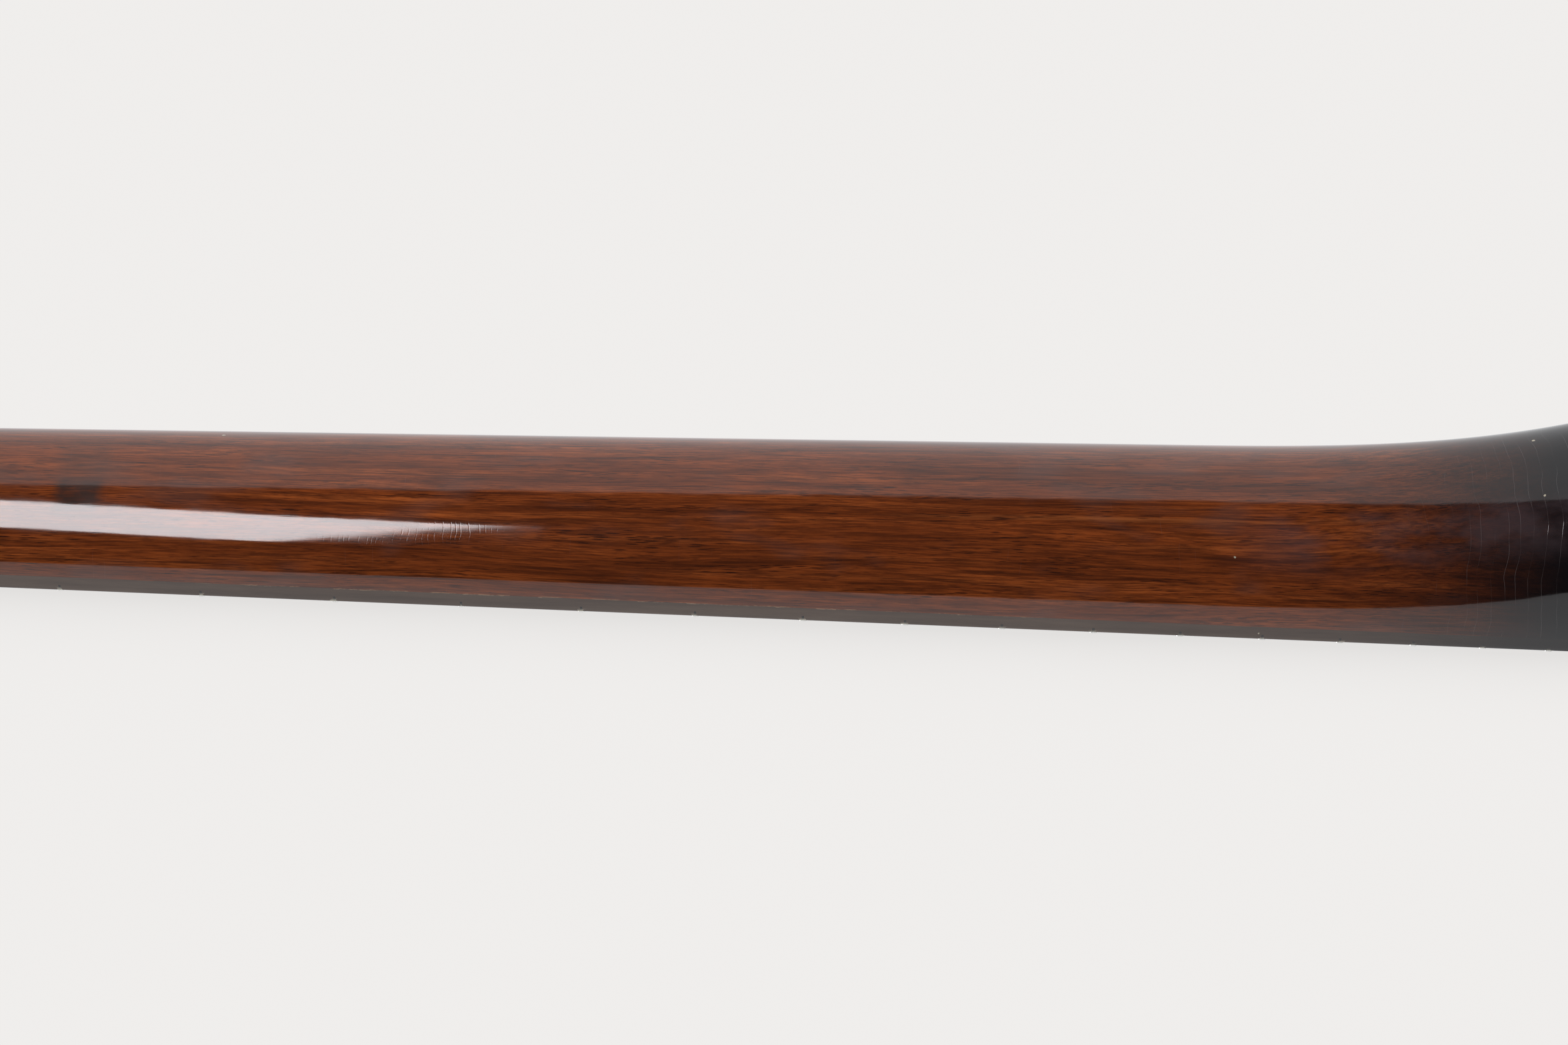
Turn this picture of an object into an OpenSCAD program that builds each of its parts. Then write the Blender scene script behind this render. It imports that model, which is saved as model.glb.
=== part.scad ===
// Guitar neck, fitted and ready to glue into a body: a one-piece mahogany neck with a full heel and
// tenon, a rosewood fretboard with frets, an adjustable truss rod and six enclosed worm tuners.
// +Z runs from the body joint to the headstock, -Y is the playing side and +X is the treble side.
// The origin is where the heel's shoulder, the centre line and the fretboard's glue plane meet.
// Lengths are in millimetres and angles in degrees.

/* [Neck] */
// Vibrating string length, from nut to bridge
scale_length = 628.65; // [622:0.05:640]
// Width at the nut
nut_width = 42.9; // [42:0.1:44]
// Width at the twelfth fret
twelfth_width = 52.4; // [51.5:0.1:53.5]
// Wood behind the fretboard at the first fret
first_depth = 14.9; // [14.5:0.1:16]
// Wood behind the fretboard at the twelfth fret
twelfth_depth = 18.1; // [17:0.1:20]
// Depth of the heel at the body joint
heel_depth = 46; // [42:1:50]
// Fret at which the neck meets the body
joint_fret = 19; // [19]
// Width of the tenon
tenon_width = 38; // [34:1:40]
// Depth of the tenon below the glue plane
tenon_depth = 25; // [22:1:28]
// Length of the tenon past the shoulder
tenon_length = 60; // [55:1:70]

/* [Fretboard] */
// Number of frets
fret_count = 22; // [20:1:22]
// Thickness on the centre line
board_thickness = 5.5; // [5:0.1:6.5]
// Radius of the playing surface
board_radius = 304.8; // [254:0.1:406.4]
// Height of a fret crown
crown_height = 1.1; // [0.9:0.05:1.2]
// Width of a fret crown
crown_width = 2.4; // [2.2:0.1:2.8]

/* [Headstock] */
// Angle at which the headstock leans back
head_angle = 17; // [17]
// Thickness of the wood
head_thickness = 14.5; // [14:0.1:15]
// Thickness of the front veneer
veneer_thickness = 1.5; // [1:0.1:1.8]
// Half width where the flare ends
flare_half = 31.5; // [31:0.1:33]
// Half width where the rounded end starts
tip_half = 38; // [37:0.1:40]
// Distance from the nut to the start of the rounded end
dome_start = 140; // [138:1:144]
// Length of the rounded end
dome_length = 26; // [22:1:30]

/* [Tuners] */
// Distance from the nut to the first pair of string posts
first_post = 42; // [41:1:44]
// Distance between string posts on one side
post_spacing = 40; // [38:1:42]
// Distance from a post to the headstock's edge
post_inset = 12.2; // [12:0.1:12.6]
// Teeth on a tuner's gear, which is also turns of the button for one turn of the post
gear_teeth = 14; // [14]

/* [Hidden] */
$fn = 48;
TUNERS = [1:6];

// Places along the neck
function fret_distance(n) = scale_length * (1 - pow(2, -n / 12));
nut_z = fret_distance(joint_fret);
function fret_z(n) = nut_z - fret_distance(n);
board_end = fret_z(22) - 6;
function neck_half(z) =
    nut_width / 2 + (twelfth_width - nut_width) / 2 * (nut_z - z) / fret_distance(12);
function ease(t) = t <= 0 ? 0 : t >= 1 ? 1 : t * t * (3 - 2 * t);

// Heel
heel_start = 118.9;
heel_power = 2.8;
function shaft_depth(z) = first_depth + (twelfth_depth - first_depth)
    * (fret_z(1) - z) / (fret_z(1) - fret_z(12));
function heel_share(z) = max(0, 1 - z / heel_start);
function neck_depth(z) =
    shaft_depth(z) + (heel_depth - shaft_depth(0)) * pow(heel_share(z), heel_power);
round_power = 2.15;
heel_squareness = 0.65;
function section_power(z) = round_power + heel_squareness * pow(heel_share(z), 2);

// Headstock outline, by the distance h up from the nut's back edge
nut_thickness = 5;
flare_length = 32;
dome_power = 2.5;
core_half = 30;
function head_half(h) =
    h <= 0 ? nut_width / 2
    : h < flare_length ? nut_width / 2 + (flare_half - nut_width / 2) * ease(h / flare_length)
    : flare_half + (tip_half - flare_half) * (h - flare_length) / (dome_start - flare_length);
function dome_at(x) =
    dome_start + dome_length * pow(1 - pow(x / tip_half, dome_power), 1 / dome_power);
core_share = (core_half - nut_width / 2) / (flare_half - nut_width / 2);
wing_start = flare_length * (0.5 - sin(asin(1 - 2 * core_share) / 3));
function dome_point(a) =
    [tip_half * pow(cos(a), 2 / dome_power), dome_start + dome_length * pow(sin(a), 2 / dome_power)];
dome_points = [for (i = [0:23]) dome_point(90 * i / 24)];
veneer_start = 0.6;

// Turn from the neck into the headstock, by the distance s along the front of the wood
turn_before_nut = 12;
turn_length = 45;
turn_start = 2;
turn_end = 36;
square_start = 8;
square_end = 38;
turn_rings = 16;
function turn_tilt(s) = head_angle * ease((s - turn_start) / (turn_end - turn_start));
function turn_front(s) =
    s < turn_before_nut + nut_thickness ? [0, nut_z - turn_before_nut + s]
    : let (h = s - turn_before_nut - nut_thickness)
      [h * sin(head_angle), nut_z + nut_thickness + h * cos(head_angle)];
function turn_half(s) = s < turn_before_nut
    ? neck_half(nut_z - turn_before_nut + s)
    : min(core_half, head_half(s - turn_before_nut - nut_thickness));
function turn_depth(s) = let (low = neck_depth(nut_z - turn_before_nut))
    low + (head_thickness - low) * ease(s / turn_end);

// Truss rod
rod_r = 2.4;
rod_y = 7.6;
rod_channel_r = 2.5;
rod_anchor_z = -30;
anchor_size = [13.6, 8, 7.6];
anchor_clearance = 0.2;
rod_seat = 5.5;
rod_washer_thickness = 1.5;
rod_nut_length = 9;
rod_nut_r = 4.4;
pocket_r = 5.2;
pocket_length = 28;
fillet_depth = 5.1;

// Fretboard and nut
slot_width = 0.6;
slot_depth = 2.8;
crown_r = (pow(crown_width / 2, 2) + pow(crown_height, 2)) / (2 * crown_height);
crown_reach = crown_height < crown_r
    ? asin(crown_width / 2 / crown_r) : 180 - asin(crown_width / 2 / crown_r);
crown_profile = [for (i = [-4:4]) let (a = crown_reach * i / 4)
    [board_radius + crown_height - crown_r + crown_r * cos(a), crown_r * sin(a)]];
fret_bevel = 0.6;
fret_land = 0.15;
dot_frets = [3, 5, 7, 9, 15, 17, 19, 21];
double_dot_fret = 12;
dot_r = 3.175;
dot_depth = 1.5;
double_dot_x = 10.5;
side_dot_r = 1;
side_dot_depth = 2;
side_dot_pitch = 6;
nut_rise = 2.6;
string_spread = 35.6;
string_slot = [0.45, 0.5, 0.7, 0.9, 1.1, 1.3];
string_slot_depth = 1.4;

// Truss rod cover
cover_thickness = 2;
cover_low_half = 13;
cover_top_half = 7;
cover_from = 1.6;
cover_length = 42;
cover_screws = [[9.2, 6.5], [-9.2, 6.5], [0, 39]];
cover_screw_r = 1.1;

// Tuners, in a frame with x out to the edge, y back and z up the headstock
worm_pitch = 1.8;
gear_pitch_r = gear_teeth * worm_pitch / 360 * 180 / PI;
gear_tip_r = 4.55;
gear_root_r = 3.3;
gear_thickness = 2.6;
tooth_tip = 0.42;
tooth_root = 0.95;
gear_y = 4;
worm_z = -6.35;
worm_tip_r = 2.8;
worm_root_r = 1.7;
worm_thread = 4;
worm_angles = 14;
worm_rings = 9;
thread_sharpness = 2.4;
shaft_r = 1.6;
shaft_clearance = 0.05;
shaft_end = 24;
collar_r = 2.3;
post_r = 3;
post_shank_r = 3.4;
post_relief_r = 2.6;
post_relief = 0.4;
post_land_gap = 0.5;
post_clearance = 0.05;
post_flange_r = 3.7;
post_spigot_r = 2;
post_top_y = 6.4;
post_height = 13;
string_hole_r = 0.85;
string_hole_height = 8.5;
bushing_r = 4.4;
bushing_depth = 8;
bushing_flange_r = 5.6;
bushing_flange = 1;
post_bore_r = 3.5;
plate_thickness = 0.8;
shell = 0.8;
housing_width = 12.5;
housing_height = 8;
housing_low = -10.5;
housing_high = 5.9;
housing_corner = 1.6;
ear_r = 3.6;
ear_reach = 4;
ear_screw_r = 1.1;
screw_head_r = 2.2;
screw_head_height = 1.2;
screw_length = 9;
button_start = 15;
button_length = 17;
button_half = 9.5;
button_thickness = 7.6;
button_edge = 2.6;
front_y = -(head_thickness + veneer_thickness);

function side(i) = i <= 3 ? 1 : -1;
function post_h(i) = first_post + post_spacing * (i <= 3 ? i - 1 : 6 - i);
function post_x(i) = head_half(post_h(i)) - post_inset;
function ear_holes() = [housing_high + ear_reach, housing_low - ear_reach];

TUNER_NODES = ["tuner_housing_", "worm_shaft_", "tuner_button_", "tuner_gear_", "string_post_"];

// ---------- Placing ----------

// Puts a shape that is drawn with y back and z up the headstock onto the headstock
module on_head() {
    translate([0, 0, nut_z + nut_thickness])
        rotate([-head_angle, 0, 0])
            children();
}

// Puts a shape drawn in the tuner's frame at tuner i, mirrored on the bass side
module at_tuner(i) {
    on_head()
        mirror([side(i) < 0 ? 1 : 0, 0, 0])
            translate([post_x(i), head_thickness, post_h(i)])
                children();
}

module along_y(from, to, r) {
    translate([0, from, 0])
        rotate([-90, 0, 0])
            cylinder(r = r, h = to - from);
}

module along_x(from, to, r) {
    translate([from, 0, 0])
        rotate([0, 90, 0])
            cylinder(r = r, h = to - from);
}

// An outline in x and z, given thickness from one y to another
module plate(from, to) {
    translate([0, to, 0])
        rotate([90, 0, 0])
            linear_extrude(to - from)
                children();
}

// ---------- Neck blank ----------

section_steps = 24;
corner_step = 6;
function signed_pow(v, p) = sign(v) * pow(abs(v), p);
function round_point(k, half, depth, power) = let (a = 180 * k / section_steps)
    [half * signed_pow(cos(a), 2 / power), depth * pow(abs(sin(a)), 2 / power)];
function square_point(k, half, depth) =
    k <= corner_step ? [half, depth * k / corner_step]
    : k >= section_steps - corner_step ? [-half, depth * (section_steps - k) / corner_step]
    : [half * (section_steps / 2 - k) / (section_steps / 2 - corner_step), depth];
function section(half, depth, power, square) = [for (k = [0:section_steps])
    (1 - square) * round_point(k, half, depth, power) + square * square_point(k, half, depth)];

// A section stood up at a front point [y, z], its depth running along the tilted back direction
function stand(points, front, tilt) = [for (p = points)
    [p[0], front[0] + p[1] * cos(tilt), front[1] - p[1] * sin(tilt)]];

heel_rings = 18;
shaft_rings = 6;
neck_stations = concat(
    [for (i = [0:heel_rings]) heel_start * i / heel_rings],
    [for (i = [1:shaft_rings - 1])
        heel_start + (nut_z - turn_before_nut - heel_start) * i / shaft_rings]
);
neck_rings = concat(
    [for (z = neck_stations)
        stand(section(neck_half(z), neck_depth(z), section_power(z), 0), [0, z], 0)],
    [for (i = [0:turn_rings]) let (
            s = turn_length * i / turn_rings,
            square = ease((s - square_start) / (square_end - square_start)))
        stand(section(turn_half(s), turn_depth(s), round_power, square),
              turn_front(s), turn_tilt(s))],
    [for (half = concat([core_half], [for (p = dome_points) if (p[0] < core_half) p[0]]))
        let (s = turn_before_nut + nut_thickness + dome_at(half))
        stand(section(half, head_thickness, round_power, 1), turn_front(s), head_angle)]
);

// Closed skin through a list of rings that all have the same number of points
module skin(rings) {
    count = len(rings[0]);
    last = len(rings) - 1;
    sides = [for (r = [0:last - 1], k = [0:count - 1]) let (
            a = r * count + k,
            b = r * count + (k + 1) % count)
        each [[a, b + count, b], [a, a + count, b + count]]];
    bottom = [for (k = [0:count - 1]) k];
    top = [for (k = [0:count - 1]) last * count + count - 1 - k];
    polyhedron([for (ring = rings) each ring], concat([bottom], sides, [top]), convexity = 4);
}

module tenon() {
    translate([-tenon_width / 2, 0, -tenon_length])
        cube([tenon_width, tenon_depth, tenon_length + 1]);
}

// Round-bottomed channel for the rod, the anchor's pocket and the scoop for the adjusting wrench
module rod_channel() {
    channel = nut_z + rod_seat + 1 - rod_anchor_z;
    translate([0, rod_y, rod_anchor_z]) cylinder(r = rod_channel_r, h = channel);
    translate([-rod_channel_r, -1, rod_anchor_z]) cube([2 * rod_channel_r, rod_y + 1, channel]);
    pocket = [for (size = anchor_size) size + 2 * anchor_clearance];
    translate([-pocket[0] / 2, -1, rod_anchor_z - anchor_clearance])
        cube([pocket[0], rod_y + pocket[1] / 2 + 1, pocket[2]]);
    translate([0, 0, nut_z + rod_seat]) {
        translate([0, rod_y, 0]) cylinder(r = pocket_r, h = pocket_length);
        translate([-pocket_r, -3, 0]) cube([2 * pocket_r, rod_y + 3, pocket_length]);
    }
}

module post_bores() {
    for (i = TUNERS) at_tuner(i) {
        along_y(front_y - 1, 1, post_bore_r);
        along_y(front_y - 1, front_y + bushing_depth, bushing_r);
    }
}

module neck_blank() {
    color([0.36, 0.16, 0.08])
        difference() {
            union() {
                skin(neck_rings);
                tenon();
            }
            rod_channel();
            post_bores();
            for (i = TUNERS) at_tuner(i) ear_screw_shanks(ear_screw_r);
            cover_screw_shanks(cover_screw_r);
        }
}

// The two strips glued to the core's edges to make up the headstock's full width
module headstock_wing() {
    flare = [for (i = [0:12]) let (h = wing_start + (flare_length - wing_start) * i / 12)
        [head_half(h), h]];
    dome = [for (p = dome_points) if (p[0] > core_half) p];
    on_head()
        plate(0, head_thickness)
            polygon(concat(flare, dome, [[core_half, dome_at(core_half)]]));
}

module headstock_wing_treble() {
    color([0.33, 0.15, 0.08]) headstock_wing();
}

module headstock_wing_bass() {
    color([0.33, 0.15, 0.08]) mirror([1, 0, 0]) headstock_wing();
}

module headstock_veneer() {
    right = concat(
        [for (i = [0:12]) let (h = veneer_start + (flare_length - veneer_start) * i / 12)
            [head_half(h), h]],
        dome_points);
    left = [for (i = [len(right) - 1:-1:0]) [-right[i][0], right[i][1]]];
    color([0.05, 0.045, 0.04])
        difference() {
            on_head()
                plate(-veneer_thickness, 0)
                    polygon(concat(right, [[0, dome_start + dome_length]], left));
            rod_channel();
            post_bores();
            cover_screw_shanks(cover_screw_r);
        }
}

// ---------- Fretboard, frets, dots and nut ----------

// The board's tapering outline as a tall prism, from one y to another
module board_outline(from, to) {
    plate(from, to)
        polygon([
            [neck_half(board_end), board_end],
            [neck_half(nut_z), nut_z],
            [-neck_half(nut_z), nut_z],
            [-neck_half(board_end), board_end]
        ]);
}

// Everything behind a cylinder that stands rise above the playing surface
module under_radius(rise, from, to) {
    r = board_radius + rise;
    translate([0, board_radius - board_thickness, from])
        cylinder(r = r, h = to - from, $fn = 256);
}

function dot_z(n) = (fret_z(n) + fret_z(n - 1)) / 2;
dot_places = concat(
    [for (n = dot_frets) [0, dot_z(n)]],
    [for (s = [-1, 1]) [s * double_dot_x, dot_z(double_dot_fret)]]
);
side_dot_places = concat(
    [for (n = dot_frets) dot_z(n)],
    [for (s = [-1, 1]) dot_z(double_dot_fret) + s * side_dot_pitch / 2]
);

// Pins square to the playing surface, from a height above it
module dot_pins(rise) {
    for (p = dot_places)
        translate([0, board_radius - board_thickness, p[1]])
            rotate([0, 0, asin(p[0] / board_radius)])
                along_y(-board_radius - rise, dot_depth - board_radius, dot_r);
}

module side_dot_pins() {
    for (z = side_dot_places)
        translate([-neck_half(z), -board_thickness / 2, z])
            along_x(-1, side_dot_depth, side_dot_r, $fn = 24);
}

module fret_slots() {
    half = neck_half(board_end) + 1;
    for (n = [1:fret_count])
        translate([-half, -board_thickness - 1, fret_z(n) - slot_width / 2])
            cube([2 * half, slot_depth + 1, slot_width]);
}

module fretboard() {
    color([0.13, 0.075, 0.05])
        difference() {
            intersection() {
                board_outline(-board_thickness - 1, 0);
                under_radius(0, board_end - 1, nut_z + 1);
            }
            fret_slots();
            dot_pins(1);
            side_dot_pins();
        }
}

// One fret: a crown that follows the board's radius over a straight tang, its ends bevelled
module fret(n) {
    half = neck_half(fret_z(n));
    edge_y = board_radius - board_thickness - sqrt(pow(board_radius, 2) - pow(half, 2));
    spread = asin(half / board_radius) + 0.5;
    tang_bottom = -board_thickness + slot_depth;
    intersection() {
        union() {
            translate([0, board_radius - board_thickness, fret_z(n)])
                rotate([0, 0, 270 - spread])
                    rotate_extrude(angle = 2 * spread, $fn = 256)
                        polygon(crown_profile);
            intersection() {
                translate([-half, -board_thickness - 1, fret_z(n) - slot_width / 2])
                    cube([2 * half, slot_depth + 1, slot_width]);
                under_radius(crown_height / 2, fret_z(n) - 2, fret_z(n) + 2);
            }
        }
        translate([0, 0, fret_z(n) - crown_width])
            linear_extrude(2 * crown_width)
                polygon([
                    [half, tang_bottom],
                    [half, edge_y - fret_land],
                    [half - fret_bevel - 1.2, edge_y - 3],
                    [-half + fret_bevel + 1.2, edge_y - 3],
                    [-half, edge_y - fret_land],
                    [-half, tang_bottom]
                ]);
    }
}

module frets() {
    color([0.78, 0.78, 0.76])
        for (n = [1:fret_count]) fret(n);
}

module position_dots() {
    color([0.86, 0.85, 0.80]) dot_pins(0);
}

module side_dots() {
    color([0.85, 0.80, 0.66])
        intersection() {
            side_dot_pins();
            board_outline(-board_thickness - 1, 0);
        }
}

module string_nut() {
    top = -board_thickness - nut_rise;
    color([0.88, 0.84, 0.72])
        difference() {
            intersection() {
                translate([-nut_width / 2, top - 1, nut_z])
                    cube([nut_width, 1 - top, nut_thickness]);
                under_radius(nut_rise, nut_z - 1, nut_z + nut_thickness + 1);
            }
            for (i = [0:5]) {
                x = string_spread * (0.5 - i / 5);
                bottom = board_radius - board_thickness
                    - sqrt(pow(board_radius + nut_rise, 2) - x * x) + string_slot_depth;
                translate([x - string_slot[i] / 2, top - 2, nut_z - 1])
                    cube([string_slot[i], bottom - top + 2, nut_thickness + 2]);
            }
        }
}

// ---------- Truss rod ----------

module truss_rod() {
    color([0.45, 0.45, 0.46])
        translate([0, rod_y, rod_anchor_z])
            cylinder(r = rod_r, h = nut_z + rod_seat + rod_nut_length + 1 - rod_anchor_z);
}

module truss_rod_anchor() {
    color([0.40, 0.40, 0.42])
        difference() {
            translate([-anchor_size[0] / 2, rod_y - anchor_size[1] / 2, rod_anchor_z])
                cube([anchor_size[0], anchor_size[1], anchor_size[2] - anchor_clearance]);
            translate([0, rod_y, rod_anchor_z - 1]) cylinder(r = rod_r, h = anchor_size[2] + 2);
        }
}

module truss_rod_fillet() {
    from = rod_anchor_z + anchor_size[2] + 2 * anchor_clearance;
    color([0.80, 0.66, 0.45])
        translate([-rod_channel_r, 0, from])
            cube([2 * rod_channel_r, fillet_depth, nut_z + nut_thickness - from]);
}

module truss_rod_washer() {
    color([0.72, 0.60, 0.32])
        translate([0, rod_y, nut_z + rod_seat])
            difference() {
                cylinder(r = pocket_r - 0.3, h = rod_washer_thickness);
                translate([0, 0, -1]) cylinder(r = rod_r + 0.1, h = rod_washer_thickness + 2);
            }
}

module truss_rod_nut() {
    color([0.76, 0.62, 0.30])
        translate([0, rod_y, nut_z + rod_seat + rod_washer_thickness + 0.1])
            difference() {
                cylinder(r = rod_nut_r, h = rod_nut_length, $fn = 6);
                translate([0, 0, -1]) cylinder(r = rod_r + 0.05, h = rod_nut_length + 2);
            }
}

module cover_screw_shanks(r) {
    on_head()
        for (p = cover_screws)
            translate([p[0], 0, p[1]])
                along_y(-veneer_thickness - cover_thickness - 1, 6, r, $fn = 24);
}

module truss_rod_cover() {
    front = -veneer_thickness - cover_thickness;
    top_r = cover_top_half;
    color([0.03, 0.03, 0.03])
        difference() {
            on_head()
                plate(front, -veneer_thickness) {
                    polygon([
                        [cover_low_half, cover_from],
                        [cover_top_half, cover_from + cover_length - top_r],
                        [-cover_top_half, cover_from + cover_length - top_r],
                        [-cover_low_half, cover_from]
                    ]);
                    translate([0, cover_from + cover_length - top_r]) circle(r = top_r);
                }
            cover_screw_shanks(cover_screw_r + 0.15);
        }
}

// A domed screw head that points along -y from y = 0, with its shank behind it
module dome_screw(head_r, head_height, shank_r, shank_length) {
    dome_r = (head_r * head_r + head_height * head_height) / (2 * head_height);
    difference() {
        union() {
            intersection() {
                translate([0, dome_r - head_height, 0]) sphere(r = dome_r);
                along_y(-head_height - 1, 0, head_r, $fn = 24);
            }
            along_y(0, shank_length, shank_r, $fn = 24);
        }
        for (turn = [0, 90])
            rotate([0, turn, 0])
                translate([-head_r * 0.62, -head_height - 1, -0.22])
                    cube([head_r * 1.24, 1 + head_height * 0.6, 0.44]);
    }
}

module truss_cover_screws() {
    color([0.74, 0.74, 0.72])
        on_head()
            for (p = cover_screws)
                translate([p[0], -veneer_thickness - cover_thickness, p[1]])
                    dome_screw(1.9, 0.9, cover_screw_r, 7);
}

// ---------- Tuners ----------

module post_bushings() {
    color([0.80, 0.79, 0.74])
        for (i = TUNERS) at_tuner(i)
            difference() {
                union() {
                    along_y(front_y, front_y + bushing_depth, bushing_r);
                    along_y(front_y - bushing_flange, front_y, bushing_flange_r);
                }
                along_y(front_y - 2, front_y + bushing_depth + 1, post_shank_r + post_clearance);
            }
}

module tuner_base_plates() {
    inner = housing_width / 2 - shell;
    color([0.70, 0.69, 0.64])
        for (i = TUNERS) at_tuner(i)
            difference() {
                translate([-inner, 0, housing_low + shell])
                    cube([2 * inner, plate_thickness, housing_high - housing_low - 2 * shell]);
                along_y(-1, 2, post_shank_r + 0.1);
            }
}

module ear_screw_shanks(r) {
    for (z = ear_holes())
        translate([0, 0, z])
            along_y(-screw_length + shell, shell + 1, r, $fn = 24);
}

module tuner_screws() {
    color([0.76, 0.75, 0.70])
        for (i = TUNERS) at_tuner(i)
            for (z = ear_holes())
                translate([0, shell, z])
                    rotate([180, 0, 0])
                        dome_screw(screw_head_r, screw_head_height, ear_screw_r, screw_length);
}

// A box with its long corners rounded, from y = 0 to a height
module rounded_box(half, low, high, height, corner) {
    for (x = [-half + corner, half - corner], z = [low + corner, high - corner])
        translate([x, 0, z]) along_y(0, height, corner, $fn = 24);
    translate([-half + corner, 0, low]) cube([2 * (half - corner), height, high - low]);
    translate([-half, 0, low + corner]) cube([2 * half, height, high - low - 2 * corner]);
}

module tuner_housing(i) {
    half = housing_width / 2;
    color([0.80, 0.79, 0.74])
        at_tuner(i)
            difference() {
                union() {
                    rounded_box(half, housing_low, housing_high, housing_height, housing_corner);
                    for (z = ear_holes()) translate([0, 0, z]) along_y(0, shell, ear_r);
                    translate([-ear_r, 0, ear_holes()[1]])
                        cube([2 * ear_r, shell, ear_holes()[0] - ear_holes()[1]]);
                }
                translate([-half + shell, -1, housing_low + shell])
                    cube([2 * (half - shell), housing_height - shell + 1,
                          housing_high - housing_low - 2 * shell]);
                translate([0, gear_y, worm_z]) along_x(-half - 1, half + 1, shaft_r + shaft_clearance);
                ear_screw_shanks(ear_screw_r + 0.15);
            }
}

// Radius of the worm at x and angle a: a rounded thread that fades out at both ends
function worm_r(x, a) = let (
        phase = 360 * (x - worm_pitch / 2) / worm_pitch - a,
        crest = pow(0.5 + 0.5 * cos(phase), thread_sharpness),
        fade = ease((worm_thread * worm_pitch / 2 - abs(x)) / (0.35 * worm_pitch)))
    worm_root_r + (worm_tip_r - worm_root_r) * crest * fade;

module worm_thread() {
    half = worm_thread * worm_pitch / 2;
    count = worm_thread * worm_rings;
    skin([for (i = [0:count]) let (x = -half + 2 * half * i / count)
        [for (k = [0:worm_angles - 1]) let (a = 360 * k / worm_angles, r = worm_r(x, a))
            [x, -r * sin(a), r * cos(a)]]]);
}

module worm_shaft(i) {
    half = worm_thread * worm_pitch / 2;
    inner = housing_width / 2 - shell - 0.15;
    color([0.66, 0.66, 0.64])
        at_tuner(i)
            translate([0, gear_y, worm_z]) {
                worm_thread();
                along_x(half - 0.2, inner, collar_r);
                along_x(-inner, 0.2 - half, collar_r);
                along_x(inner - 0.2, shaft_end, shaft_r);
                along_x(-housing_width / 2 - 0.9, 0.2 - inner, shaft_r);
                along_x(button_start - 1.6, button_start, 2.7);
            }
}

// One end of a button: a flat disc with a rounded rim
module button_lobe(r) {
    edge = min(button_edge, r - 0.1);
    rotate([-90, 0, 0])
        rotate_extrude($fn = 32)
            for (y = [-1, 1])
                translate([r - edge, y * (button_thickness / 2 - edge)]) circle(r = edge, $fn = 16);
}

module tuner_button(i) {
    lobe = button_length / 2;
    color([0.90, 0.86, 0.72])
        at_tuner(i)
            translate([0, gear_y, worm_z])
                difference() {
                    hull()
                        for (z = [-1, 1])
                            translate([button_start + lobe, 0, z * (button_half - lobe)])
                                button_lobe(lobe);
                    along_x(button_start - 1, shaft_end, shaft_r);
                }
}

// Outline of the gear in x and z, with a tooth centred on -z, towards the worm
module gear_outline() {
    step = 360 / gear_teeth;
    root_half = tooth_root / 2 / gear_root_r * 180 / PI;
    tip_half_angle = tooth_tip / 2 / gear_tip_r * 180 / PI;
    polygon([for (k = [0:gear_teeth - 1]) let (a = -90 + k * step) each [
        gear_root_r * [cos(a - root_half), sin(a - root_half)],
        gear_tip_r * [cos(a - tip_half_angle), sin(a - tip_half_angle)],
        gear_tip_r * [cos(a + tip_half_angle), sin(a + tip_half_angle)],
        gear_root_r * [cos(a + root_half), sin(a + root_half)]
    ]]);
}

module tuner_gear(i) {
    color([0.74, 0.60, 0.32])
        at_tuner(i)
            difference() {
                plate(gear_y - gear_thickness / 2, gear_y + gear_thickness / 2) gear_outline();
                along_y(0, 8, post_spigot_r);
            }
}

module string_post(i) {
    tip = front_y - bushing_flange - post_height;
    flange_y = gear_y - gear_thickness / 2;
    shank_y = front_y - bushing_flange - post_land_gap;
    color([0.80, 0.79, 0.75])
        at_tuner(i)
            difference() {
                union() {
                    along_y(tip + 1, shank_y, post_r);
                    along_y(shank_y - 0.1, shank_y + post_relief + 0.1, post_relief_r);
                    along_y(shank_y + post_relief, plate_thickness + 0.1, post_shank_r);
                    translate([0, tip + 1, 0])
                        rotate([90, 0, 0])
                            cylinder(r1 = post_r, r2 = post_r - 0.8, h = 1);
                    along_y(plate_thickness + 0.1, flange_y, post_flange_r);
                    along_y(flange_y, post_top_y, post_spigot_r);
                }
                translate([0, front_y - bushing_flange - string_hole_height, 0])
                    along_x(-post_r - 1, post_r + 1, string_hole_r, $fn = 24);
            }
}

// ---------- Nodes ----------

neck_blank();
headstock_wing_treble();
headstock_wing_bass();
headstock_veneer();
fretboard();
frets();
position_dots();
side_dots();
string_nut();
truss_rod();
truss_rod_anchor();
truss_rod_fillet();
truss_rod_washer();
truss_rod_nut();
truss_rod_cover();
truss_cover_screws();
post_bushings();
tuner_base_plates();
tuner_screws();
for (i = TUNERS) {
    tuner_housing(i);
    worm_shaft(i);
    tuner_button(i);
    tuner_gear(i);
    string_post(i);
}
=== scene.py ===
import math

import bmesh
import bpy
from mathutils import Matrix, Vector


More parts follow.
